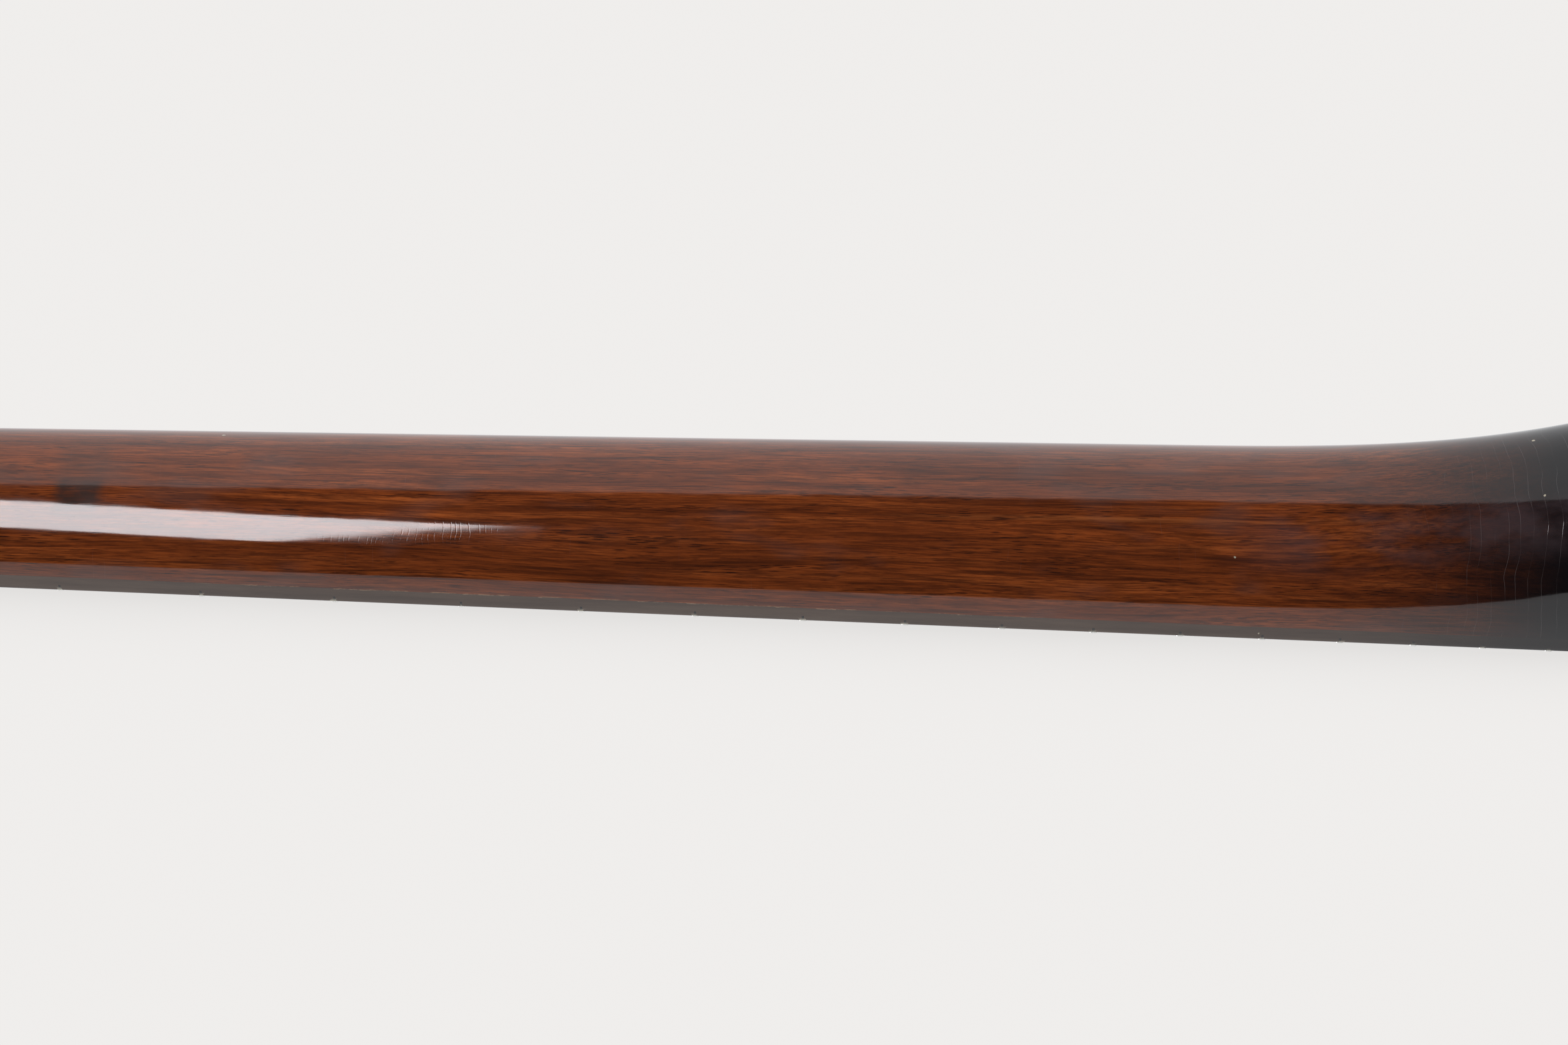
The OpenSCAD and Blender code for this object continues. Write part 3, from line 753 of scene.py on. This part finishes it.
def make_side_dots():
    """Pins in the board's bass edge, with a pair at the twelfth fret."""
    heights = [dot_place(n) for n in DOT_FRETS]
    heights += [dot_place(12) + side * TWIN_PIN_OFFSET for side in (-1, 1)]
    skins = []
    for z in heights:
        def on_edge(u, v, up):
            return Vector((-neck_half(z) - up, -BOARD_THICKNESS / 2 + u, z + v))
        skins.append(inlay(on_edge, SIDE_DOT_RADIUS, 24))
    piece = add_piece("side_dot_pins", *join_skins(skins))
    sharpen(piece, 30)
    return piece


BUTTON_MIDDLE, BUTTON_REACH, BUTTON_HALF, BUTTON_THICK = 0.0235, 0.0085, 0.0095, 0.0038
WORM_HEIGHT, WORM_DROP = 0.004, -0.00635
FIRST_POST, POST_STEP, POST_INSET = 0.042, 0.040, 0.0122


def tuner_place(number, x, y, z):
    """A point of a tuner, given outwards, back and up from its post, in the row."""
    row = number if number <= 3 else 7 - number
    h = FIRST_POST + POST_STEP * (row - 1)
    side = 1 if number <= 3 else -1
    return head_to_row(side * (head_half(h) - POST_INSET + x), HEAD_THICKNESS + y, h + z)


def make_button(number):
    """A moulded oval button, dished a little for the thumb on both faces."""
    across, round_steps = 14, 56
    rings = []
    for side in (1, -1):
        shares = [i / across for i in range(across + 1)]
        for share in (shares if side > 0 else shares[-2::-1]):
            u = math.sin(share * math.pi / 2)
            thick = BUTTON_THICK * (1 - u ** 4.2) ** (1 / 2.6)
            thick *= 0.86 + 0.14 * ease(u / 0.8)
            u = max(u, 0.02)
            ring = []
            for k in range(round_steps):
                a = 2 * math.pi * k / round_steps
                c, s = math.cos(a), math.sin(a)
                dx = BUTTON_REACH * u * math.copysign(abs(c) ** 0.92, c)
                dz = BUTTON_HALF * u * math.copysign(abs(s) ** 0.86, s)
                ring.append(tuner_place(number, BUTTON_MIDDLE + dx, WORM_HEIGHT + side * thick,
                                        WORM_DROP + dz))
            rings.append(ring)
    if number <= 3:
        rings = [ring[::-1] for ring in rings]
    return add_piece(f"button_{number}", *skin_rings(rings), f"tuner_key_{number}")


board = make_fretboard()
frets = make_frets()
dots = make_dots()
side_dots = make_side_dots()
buttons = [make_button(number) for number in range(1, 7)]
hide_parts("fretboard")
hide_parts("frets")
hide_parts("position_dots")
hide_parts("side_dots")
for number, button in enumerate(buttons, 1):
    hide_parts(f"tuner_button_{number}")


# ---------- Shared effects ----------


def wire_wood_figure(g, use):
    """Grain that wanders along the wood: bands, soft patches and fine lines."""
    wander = g.noise(g.stretch(use["Place"], (60, 60, 9)), 1.0, 2)
    x, y, z = g.split(use["Place"])
    drift = g.math("MULTIPLY", g.math("SUBTRACT", wander, 0.5), use["Drift"])
    bent = g.join(g.math("ADD", x, drift), g.math("SUBTRACT", y, drift), z)
    bands = g.noise(g.stretch(bent, use["Bands"]), 1.0, 4, 0.6)
    patches = g.noise(g.stretch(bent, (150, 150, 30)), 1.0, 3, 0.6)
    fine = g.noise(g.stretch(bent, (2800, 2800, 110)), 1.0, 4, 0.7)
    streaks = g.noise(g.stretch(bent, (900, 900, 24)), 1.0, 4, 0.65)
    return bent, bands, patches, fine, streaks


WOOD_FIGURE = shared_group(
    "wood_figure",
    [("Place", "Vector", None), ("Bands", "Vector", (420, 420, 9)), ("Drift", "Float", 0.004)],
    [("Bent", "Vector"), ("Bands", "Float"), ("Patches", "Float"), ("Fine", "Float"),
     ("Streaks", "Float")],
    wire_wood_figure)


def wire_open_pores(g, use):
    """Short dark strokes, thicker in some places than others."""
    strokes = g.cells(g.stretch(use["Place"], use["Stroke"]), 1.0)
    crowd = g.noise(g.stretch(use["Place"], (260, 260, 34)), 1.0, 3, 0.6)
    reach = g.scale(crowd, 0.35, 0.70, use["Few"], use["Many"])
    return (g.step(g.math("SUBTRACT", reach, strokes), 0.0, 0.22),)


OPEN_PORES = shared_group(
    "open_pores",
    [("Place", "Vector", None), ("Stroke", "Vector", (2700, 2700, 190)),
     ("Few", "Float", 0.06), ("Many", "Float", 0.52)],
    [("Pores", "Float")],
    wire_open_pores)


def wire_lacquer_film(g, use):
    """Height and roughness of a thin lacquer that has sunk a little into the grain."""
    ripple = g.noise(g.stretch(use["Place"], (120, 120, 45)), 1.0, 2)
    grainy = g.noise(g.stretch(use["Place"], (2600, 2600, 90)), 1.0, 2)
    height = g.math("MULTIPLY_ADD", ripple, use["Ripple"], g.math("MULTIPLY", grainy, 0.0000020))
    height = g.math("SUBTRACT", height, g.math("MULTIPLY", use["Pores"], 0.0000008))
    height = g.math("SUBTRACT", height, g.math("MULTIPLY", use["Checks"], 0.0000040))
    lean = g.math("MULTIPLY_ADD", ripple, 0.003, g.split(use["Place"])[2])
    hair = g.hairlines(lean, 620, 0.0, 0.12)
    where = g.step(g.noise(g.stretch(use["Place"], (420, 420, 60)), 1.0, 3), 0.42, 0.60)
    crazed = g.math("MULTIPLY", g.math("MULTIPLY", hair, where), use["Craze"])
    height = g.math("SUBTRACT", height, crazed)
    haze = g.noise(use["Place"], 70, 4, 0.6)
    return height, g.scale(haze, 0.3, 0.7, use["Clear"], use["Hazy"])


LACQUER_FILM = shared_group(
    "lacquer_film",
    [("Place", "Vector", None), ("Pores", "Float", 0.0), ("Checks", "Float", 0.0),
     ("Craze", "Float", 0.0000008), ("Ripple", "Float", 0.00006), ("Clear", "Float", 0.05),
     ("Hazy", "Float", 0.10)],
    [("Height", "Float"), ("Roughness", "Float")],
    wire_lacquer_film)


def wire_lacquer_checks(g, use):
    """Hairline cracks of old lacquer that run across the neck, most of them near the heel."""
    place = use["Place"]
    x, y, z = g.split(place)
    sway = g.noise(g.stretch(place, (60, 60, 20)), 1.0, 2)
    lean = g.math("MULTIPLY_ADD", sway, 0.0045, g.math("MULTIPLY_ADD", x, 0.05, z))
    lines = g.hairlines(lean, 330, 0.004, 0.022)
    broken = g.noise(g.stretch(place, (75, 75, 200)), 1.0, 2, 0.6)
    near_heel = g.fade(z, 0.045, 0.085)
    gate = g.math("MULTIPLY_ADD", near_heel, 0.24, broken)
    return (g.math("MULTIPLY", lines, g.step(gate, 0.58, 0.90)),)


LACQUER_CHECKS = shared_group(
    "lacquer_checks", [("Place", "Vector", None)], [("Lines", "Float")], wire_lacquer_checks)


def wire_black_shading(g, use):
    """Black sprayed round the heel, with a cloudy edge."""
    cloud = g.noise(use["Place"], 45, 2)
    z = g.split(use["Place"])[2]
    edge = g.math("MULTIPLY_ADD", g.math("SUBTRACT", cloud, 0.5), 0.016, z)
    return (g.fade(edge, 0.034, 0.104),)


BLACK_SHADING = shared_group(
    "black_shading", [("Place", "Vector", None)], [("Black", "Float")], wire_black_shading)


def wire_nick(g, use):
    """A small ragged chip round a point."""
    gap = g.add("ShaderNodeVectorMath", operation="SUBTRACT")
    g.plug(gap.inputs[0], use["Place"])
    g.plug(gap.inputs[1], use["Centre"])
    length = g.add("ShaderNodeVectorMath", operation="LENGTH")
    g.plug(length.inputs[0], gap.outputs[0])
    ragged = g.math("MULTIPLY", g.math("SUBTRACT", g.noise(use["Place"], 900, 3, 0.6), 0.5),
                    g.math("MULTIPLY", use["Radius"], 2.2))
    away = g.math("ADD", length.outputs["Value"], ragged)
    return (g.math("LESS_THAN", away, use["Radius"]),)


NICK = shared_group(
    "nick", [("Place", "Vector", None), ("Centre", "Vector", None), ("Radius", "Float", 0.0006)],
    [("Mask", "Float")], wire_nick)


def wire_fine_scratches(g, use):
    """Handling marks on metal and plastic: a slow tarnish, fine scratches and tiny pits."""
    place = use["Place"]
    tarnish = g.noise(place, 140, 4, 0.6)
    crossing = g.add("ShaderNodeVectorRotate", rotation_type="EULER_XYZ")
    g.plug(crossing.inputs["Vector"], place)
    crossing.inputs["Rotation"].default_value = (0.7, 0.4, 1.1)
    scratch = g.noise(g.stretch(crossing.outputs[0], (9000, 400, 9000)), 1.0, 2, 0.7)
    pits = g.cells(place, 1400)
    height = g.math("MULTIPLY", g.math("MULTIPLY_ADD", g.step(pits, 0.0, 0.25), 0.6, scratch),
                    use["Depth"])
    worn = g.scale(tarnish, 0.30, 0.72, use["Bright"], use["Dull"])
    rough = g.math("MULTIPLY_ADD", g.math("SUBTRACT", scratch, 0.5), 0.10, worn)
    return tarnish, height, rough


FINE_SCRATCHES = shared_group(
    "fine_scratches",
    [("Place", "Vector", None), ("Depth", "Float", 0.000002), ("Bright", "Float", 0.15),
     ("Dull", "Float", 0.35)],
    [("Tarnish", "Float"), ("Height", "Float"), ("Roughness", "Float")],
    wire_fine_scratches)


# ---------- Materials ----------


def new_material(name):
    """An empty material with its graph, shader and place."""
    material = bpy.data.materials.new(name)
    material.use_nodes = True
    material.node_tree.nodes.clear()
    g = Graph(material.node_tree)
    shader = g.add("ShaderNodeBsdfPrincipled")
    output = g.add("ShaderNodeOutputMaterial")
    g.links.new(shader.outputs[0], output.inputs[0])
    return material, g, shader, g.add("ShaderNodeTexCoord").outputs["Object"]


def raise_surface(g, shader, height):
    """Bumps a surface by a height in metres."""
    bump = g.add("ShaderNodeBump")
    bump.inputs["Strength"].default_value = 1.0
    bump.inputs["Distance"].default_value = 1.0
    g.plug(bump.inputs["Height"], height)
    g.links.new(bump.outputs[0], shader.inputs["Normal"])


MAHOGANY_DARK = (0.114, 0.0255, 0.0056)
MAHOGANY_MIDDLE = (0.190, 0.0425, 0.0090)
MAHOGANY_LIGHT = (0.275, 0.0680, 0.0150)
BLACK = (0.0035, 0.0035, 0.0042, 1)
CHIP_COLOUR = (0.30, 0.27, 0.20, 1)
# Each nick's centre and radius
NECK_NICKS = (((-0.01385, 0.0125, 0.3488), 0.00036), ((0.0177, 0.01384, 0.1118), 0.00028),
              ((0.00717, 0.02603, 0.04276), 0.00026), ((-0.01175, 0.02474, 0.04353), 0.00034))
BOARD_NICKS = (((0.0261, -0.0022, 0.1055), 0.00028),)


def chip(g, base, place, nicks):
    """Lays a pale chip over a colour at each nick."""
    for centre, radius in nicks:
        mask = g.use(NICK, place=place, centre=centre, radius=radius)["Mask"]
        base = g.blend(mask, base, CHIP_COLOUR)
    return base


def mahogany_colour(g, place):
    """Colour and pores of the wood; the headstock's wings are cut from other boards."""
    x, y, z = g.split(place)
    wing = g.math("GREATER_THAN", g.math("ABSOLUTE", x), 0.030)
    own = g.join(x, y, g.math("MULTIPLY_ADD", wing, 0.37, z))
    figure = g.use(WOOD_FIGURE, place=own)
    base = g.ramp(figure["Bands"], (0.30, MAHOGANY_DARK), (0.50, MAHOGANY_MIDDLE),
                  (0.68, MAHOGANY_LIGHT))
    base = g.blend(g.scale(figure["Patches"], 0.35, 0.65, 0.45, 0.0), base,
                   (0.060, 0.0135, 0.0040, 1))
    base = g.blend(g.scale(figure["Fine"], 0.40, 0.60, 0.75, 0.0), base,
                   (0.045, 0.0105, 0.0038, 1))
    off = g.math("ABSOLUTE", g.math("SUBTRACT", g.split(figure["Bent"])[0], 0.0099))
    streak = g.math("MULTIPLY", g.fade(off, 0.0001, 0.0010), g.band(z, 0.075, 0.180, 0.020))
    base = g.blend(g.math("MULTIPLY", streak, g.scale(figure["Streaks"], 0.42, 0.62, 0.05, 0.55)),
                   base, (0.30, 0.090, 0.025, 1))
    base = g.blend(g.scale(figure["Streaks"], 0.34, 0.48, 0.75, 0.0), base,
                   (0.034, 0.0085, 0.0034, 1))
    pores = g.use(OPEN_PORES, place=figure["Bent"])["Pores"]
    base = g.blend(g.math("MULTIPLY", pores, 0.80), base, (0.014, 0.0045, 0.003, 1))
    seam = g.band(g.math("ABSOLUTE", x), 0.02994, 0.03006, 0.00004)
    base = g.blend(g.math("MULTIPLY", seam, 0.6), base, (0.02, 0.006, 0.004, 1))
    return base, pores


def lacquered_mahogany():
    material, g, shader, place = new_material("lacquered_mahogany")
    base, pores = mahogany_colour(g, place)
    x, y, z = g.split(place)

    # A thin pale glue line under the board, worn away in places
    rim = g.fade(y, 0.0001, 0.0003)
    worn = g.step(g.noise(g.stretch(place, (60, 60, 120)), 1.0, 4, 0.7), 0.46, 0.60)
    along = g.band(z, 0.160, 0.345, 0.010)
    base = g.blend(g.math("MULTIPLY", g.math("MULTIPLY", rim, worn), along), base,
                   (0.24, 0.12, 0.06, 1))

    # Grime from a hand near the first fret, and dull clouds in the finish
    blotch = g.noise(g.stretch(place, (700, 700, 240)), 1.0, 4, 0.65)
    blotch = g.scale(blotch, 0.36, 0.60, 0.55, 0.90)
    smudge = g.math("MULTIPLY", g.band(z, 0.3742, 0.3844, 0.0017),
                    g.band(x, 0.0048, 0.0124, 0.0018))
    smear = g.math("MULTIPLY", g.band(z, 0.3732, 0.3854, 0.0026),
                   g.band(x, -0.0080, 0.0050, 0.0034))
    grime = g.math("MULTIPLY_ADD", smear, 0.30, g.math("MULTIPLY", smudge, blotch))
    base = g.blend(g.math("MINIMUM", grime, 0.86), base, (0.018, 0.016, 0.015, 1))
    cloud = g.step(g.noise(g.stretch(place, (80, 80, 34)), 1.0, 2), 0.54, 0.70)
    base = g.blend(g.math("MULTIPLY", cloud, 0.30), base, (0.085, 0.046, 0.038, 1))

    # Black shading at the heel, a painted grey sheen over the middle of its back, and checks in the
    # old lacquer over it
    base = g.blend(g.use(BLACK_SHADING, place=place)["Black"], base, BLACK)
    # Painted sheen: a hazy grey-purple reflection painted into the colour over the middle of the
    # heel's back
    haze = g.step(g.noise(g.stretch(place, (110, 110, 60)), 1.0, 3), 0.36, 0.66)
    painted_sheen = g.math("MULTIPLY", haze, g.math("MULTIPLY", g.band(z, 0.030, 0.105, 0.014),
                                            g.band(x, 0.0075, 0.0195, 0.0035)))
    base = g.blend(g.math("MULTIPLY", painted_sheen, 0.42), base, (0.062, 0.044, 0.048, 1))
    checks = g.use(LACQUER_CHECKS, place=place)["Lines"]
    base = g.blend(g.math("MULTIPLY", checks, 0.15), base, (0.30, 0.27, 0.27, 1))
    g.plug(shader.inputs["Base Color"], chip(g, base, place, NECK_NICKS))

    craze = g.math("MULTIPLY_ADD", g.band(z, 0.262, 0.312, 0.014), 0.0000018, 0.0000006)
    film = g.use(LACQUER_FILM, place=place, pores=pores, checks=checks, craze=craze)
    raise_surface(g, shader, film["Height"])
    g.plug(shader.inputs["Roughness"], film["Roughness"])
    shader.inputs["IOR"].default_value = 1.5
    return material


def bare_mahogany():
    material, g, shader, place = new_material("bare_mahogany")
    base, pores = mahogany_colour(g, place)
    base = g.blend(0.34, base, (0.40, 0.19, 0.095, 1))
    base = g.blend(0.30, base, (1.0, 0.80, 0.62, 1), "SOFT_LIGHT")
    g.plug(shader.inputs["Base Color"], base)
    sawn = g.noise(g.stretch(place, (600, 600, 90)), 1.0, 4, 0.6)
    height = g.math("MULTIPLY_ADD", sawn, 0.00003, g.math("MULTIPLY", pores, -0.00003))
    raise_surface(g, shader, height)
    g.plug(shader.inputs["Roughness"], g.scale(sawn, 0.3, 0.7, 0.55, 0.75))
    return material


def black_veneer():
    material, g, shader, place = new_material("black_lacquered_veneer")
    figure = g.use(WOOD_FIGURE, place=place)
    pores = g.use(OPEN_PORES, place=figure["Bent"], few=0.04, many=0.22)["Pores"]
    base = g.ramp(figure["Fine"], (0.35, (0.0045, 0.0042, 0.0042)),
                  (0.65, (0.0095, 0.0085, 0.008)))
    checks = g.use(LACQUER_CHECKS, place=place)["Lines"]
    base = g.blend(g.math("MULTIPLY", checks, 0.2), base, (0.20, 0.18, 0.17, 1))
    g.plug(shader.inputs["Base Color"], base)
    film = g.use(LACQUER_FILM, place=place, pores=pores, checks=checks, ripple=0.00003)
    raise_surface(g, shader, film["Height"])
    g.plug(shader.inputs["Roughness"], film["Roughness"])
    shader.inputs["IOR"].default_value = 1.5
    return material


def fret_gap(g, z):
    """Distance along the board, in metres, from a place to the nearest fret line."""
    left = g.math("ADD", z, SCALE_LENGTH - NUT_Z)
    octaves = g.math("LOGARITHM", g.math("DIVIDE", left, SCALE_LENGTH), 2.0)
    number = g.math("MULTIPLY", octaves, -12)
    off = g.math("ABSOLUTE", g.math("SUBTRACT", number, g.math("ROUND", number)))
    return g.math("MULTIPLY", g.math("MULTIPLY", off, left), math.log(2) / 12)


def rosewood():
    """Dark brown board: oiled on top, lacquered on its sides, chipped at the fret ends."""
    material, g, shader, place = new_material("rosewood_board")
    x, y, z = g.split(place)
    figure = g.use(WOOD_FIGURE, place=place, bands=(900, 500, 12), drift=0.006)
    base = g.ramp(figure["Bands"], (0.30, (0.040, 0.019, 0.013)), (0.50, (0.095, 0.048, 0.032)),
                  (0.72, (0.150, 0.082, 0.052)))
    base = g.blend(g.scale(figure["Fine"], 0.40, 0.62, 0.5, 0.0), base, (0.022, 0.011, 0.008, 1))
    pores = g.use(OPEN_PORES, place=figure["Bent"], stroke=(1500, 1500, 150), few=0.12,
                  many=0.34)["Pores"]
    base = g.blend(g.math("MULTIPLY", pores, 0.8), base, (0.010, 0.006, 0.005, 1))

    # Sides: finish worn to a grey brown, and a pale line where they meet the neck
    half = g.math("MULTIPLY_ADD", z, neck_half(1) - neck_half(0), neck_half(0))
    side = g.step(g.math("SUBTRACT", g.math("ABSOLUTE", x), half), -0.0004, -0.0001)
    sheen = g.noise(g.stretch(place, (200, 200, 24)), 1.0, 4, 0.6)
    worn_side = g.ramp(sheen, (0.32, (0.040, 0.024, 0.016)), (0.66, (0.080, 0.054, 0.038)))
    base = g.blend(g.math("MULTIPLY", side, 0.85), base, worn_side)
    line = g.math("MULTIPLY", g.step(y, -0.0003, -0.0001), g.band(z, 0.160, 0.345, 0.010))
    broken = g.step(g.noise(g.stretch(place, (60, 60, 150)), 1.0, 4, 0.7), 0.50, 0.62)
    base = g.blend(g.math("MULTIPLY", line, broken), base, (0.24, 0.15, 0.09, 1))
    black = g.math("MULTIPLY", g.use(BLACK_SHADING, place=place)["Black"], side)
    base = g.blend(g.math("MULTIPLY", black, 0.9), base, BLACK)

    # Fret slot ends, and lacquer flaked off round them
    gap = fret_gap(g, z)
    slot = g.math("MULTIPLY", g.fade(gap, 0.00022, 0.00034), g.fade(y, -0.0028, -0.0026))
    base = g.blend(g.math("MULTIPLY", slot, side), base, (0.012, 0.009, 0.008, 1))
    flake = g.math("MULTIPLY_ADD", g.noise(place, 620, 4, 0.7), 0.0050, gap)
    chips = g.math("MULTIPLY", g.math("LESS_THAN", flake, 0.0031), g.fade(y, -0.0044, -0.0032))
    chips = g.math("MULTIPLY", chips, side)
    tone = g.ramp(g.noise(place, 500, 3), (0.35, (0.15, 0.145, 0.115)),
                  (0.65, (0.38, 0.34, 0.26)))
    base = g.blend(chips, base, tone)
    g.plug(shader.inputs["Base Color"], chip(g, base, place, BOARD_NICKS))

    film = g.use(LACQUER_FILM, place=place, pores=pores, ripple=0.00002, clear=0.10, hazy=0.24)
    dry = g.scale(sheen, 0.3, 0.7, 0.42, 0.60)
    rough = g.add("ShaderNodeMix", data_type="FLOAT")
    g.plug(rough.inputs[0], g.math("SUBTRACT", side, chips))
    g.plug(rough.inputs[2], dry)
    g.plug(rough.inputs[3], film["Roughness"])
    g.plug(shader.inputs["Roughness"], rough.outputs[0])
    open_grain = g.math("MULTIPLY", pores, g.scale(side, 0, 1, -0.00003, -0.000002))
    height = g.math("ADD", film["Height"], open_grain)
    height = g.math("SUBTRACT", height, g.math("MULTIPLY", chips, 0.00005))
    raise_surface(g, shader, height)
    return material


def metal(name, low, high, bright, dull, depth=0.000002):
    """A metal between its tarnished, low, and clean, high, colours."""
    material, g, shader, place = new_material(name)
    wear = g.use(FINE_SCRATCHES, place=place, depth=depth, bright=bright, dull=dull)
    g.plug(shader.inputs["Base Color"], g.ramp(wear["Tarnish"], (0.35, high), (0.68, low)))
    g.plug(shader.inputs["Roughness"], wear["Roughness"])
    shader.inputs["Metallic"].default_value = 1.0
    raise_surface(g, shader, wear["Height"])
    return material


def moulded(name, low, high, bright, dull, glow=0.0):
    """A plastic, with the light soaking in a little where glow is set."""
    material, g, shader, place = new_material(name)
    wear = g.use(FINE_SCRATCHES, place=place, depth=0.0000015, bright=bright, dull=dull)
    g.plug(shader.inputs["Base Color"], g.ramp(wear["Tarnish"], (0.34, high), (0.66, low)))
    g.plug(shader.inputs["Roughness"], wear["Roughness"])
    shader.inputs["Subsurface Weight"].default_value = glow
    shader.inputs["Subsurface Scale"].default_value = 0.0015
    raise_surface(g, shader, wear["Height"])
    return material


def pearl():
    material, g, shader, place = new_material("pearl_inlay")
    folds = g.noise(place, 420, 3, 0.6, 1.6)
    flecks = g.cells(g.stretch(place, (380, 380, 520)), 1.0)
    base = g.ramp(folds, (0.32, (0.52, 0.50, 0.45)), (0.50, (0.78, 0.77, 0.71)),
                  (0.66, (0.90, 0.90, 0.87)))
    base = g.blend(g.scale(flecks, 0.0, 0.6, 0.35, 0.0), base, (0.70, 0.76, 0.74, 1))
    g.plug(shader.inputs["Base Color"], base)
    wear = g.use(FINE_SCRATCHES, place=place, bright=0.12, dull=0.26)
    g.plug(shader.inputs["Roughness"], wear["Roughness"])
    raise_surface(g, shader, wear["Height"])
    return material


def polished_bone():
    material, g, shader, place = new_material("polished_bone")
    fibres = g.noise(g.stretch(place, (300, 2600, 2600)), 1.0, 3, 0.6)
    base = g.ramp(fibres, (0.34, (0.62, 0.53, 0.36)), (0.66, (0.80, 0.73, 0.56)))
    grime = g.step(g.noise(place, 500, 4, 0.65), 0.52, 0.72)
    base = g.blend(g.math("MULTIPLY", grime, 0.35), base, (0.30, 0.22, 0.13, 1))
    g.plug(shader.inputs["Base Color"], base)
    wear = g.use(FINE_SCRATCHES, place=place, bright=0.20, dull=0.38)
    g.plug(shader.inputs["Roughness"], wear["Roughness"])
    shader.inputs["Subsurface Weight"].default_value = 0.25
    shader.inputs["Subsurface Scale"].default_value = 0.001
    raise_surface(g, shader, wear["Height"])
    return material


def maple():
    material, g, shader, place = new_material("maple_strip")
    figure = g.use(WOOD_FIGURE, place=place)
    base = g.ramp(figure["Bands"], (0.32, (0.46, 0.31, 0.17)), (0.68, (0.62, 0.46, 0.28)))
    base = g.blend(g.scale(figure["Fine"], 0.40, 0.62, 0.25, 0.0), base, (0.34, 0.21, 0.11, 1))
    g.plug(shader.inputs["Base Color"], base)
    g.plug(shader.inputs["Roughness"], g.scale(figure["Patches"], 0.3, 0.7, 0.55, 0.70))
    raise_surface(g, shader, g.math("MULTIPLY", figure["Fine"], 0.00001))
    return material


MAHOGANY = lacquered_mahogany()
NICKEL = metal("polished_nickel", (0.52, 0.49, 0.43), (0.74, 0.71, 0.65), 0.10, 0.24)
FRET_WIRE = metal("polished_fret_wire", (0.56, 0.55, 0.52), (0.74, 0.73, 0.70), 0.14, 0.30)
STEEL = metal("oiled_steel", (0.22, 0.21, 0.20), (0.40, 0.39, 0.38), 0.25, 0.42, 0.000004)
BRASS = metal("machined_brass", (0.42, 0.27, 0.09), (0.70, 0.50, 0.20), 0.20, 0.38, 0.000004)
BLACK_PLASTIC = moulded("black_plastic", (0.010, 0.010, 0.010), (0.022, 0.022, 0.022),
                        0.14, 0.30)
CREAM_PLASTIC = moulded("aged_cream_plastic", (0.52, 0.43, 0.22), (0.66, 0.58, 0.36),
                        0.16, 0.30, 0.3)
SIDE_DOT = moulded("side_dot_plastic", (0.58, 0.50, 0.32), (0.72, 0.65, 0.46), 0.2, 0.35)


def finish_piece(piece, material):
    piece.data.materials.append(material)


def dress(node, material, edge=0.0):
    """Gives a carried-over node its material, and takes the sharpness off its edges."""
    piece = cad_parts[node]
    if not piece.material_slots:
        piece.data.materials.append(material)
    for place in piece.material_slots:
        place.material = material
    if edge:
        soft = piece.modifiers.new("soft_edges", "BEVEL")
        soft.width, soft.segments = edge, 2
        soft.limit_method, soft.angle_limit = "ANGLE", math.radians(38)


for piece in (neck_wood, headstock_wood):
    finish_piece(piece, MAHOGANY)
finish_piece(tenon_wood, bare_mahogany())
finish_piece(board, rosewood())
finish_piece(frets, FRET_WIRE)
finish_piece(dots, pearl())
finish_piece(side_dots, SIDE_DOT)
for button in buttons:
    finish_piece(button, CREAM_PLASTIC)

dress("headstock_veneer", black_veneer(), 0.3 * MM)
dress("string_nut", polished_bone(), 0.15 * MM)
dress("truss_rod", STEEL)
dress("truss_rod_anchor", STEEL)
dress("truss_rod_fillet", maple())
dress("truss_rod_washer", BRASS)
dress("truss_rod_nut", BRASS, 0.15 * MM)
dress("truss_rod_cover", BLACK_PLASTIC, 0.3 * MM)
dress("truss_cover_screws", NICKEL)
dress("post_bushings", NICKEL, 0.15 * MM)
dress("tuner_base_plates", NICKEL, 0.1 * MM)
dress("tuner_screws", NICKEL)
for number in range(1, 7):
    dress(f"tuner_housing_{number}", NICKEL, 0.3 * MM)
    dress(f"worm_shaft_{number}", STEEL)
    dress(f"tuner_gear_{number}", BRASS, 0.08 * MM)
    dress(f"string_post_{number}", NICKEL, 0.12 * MM)
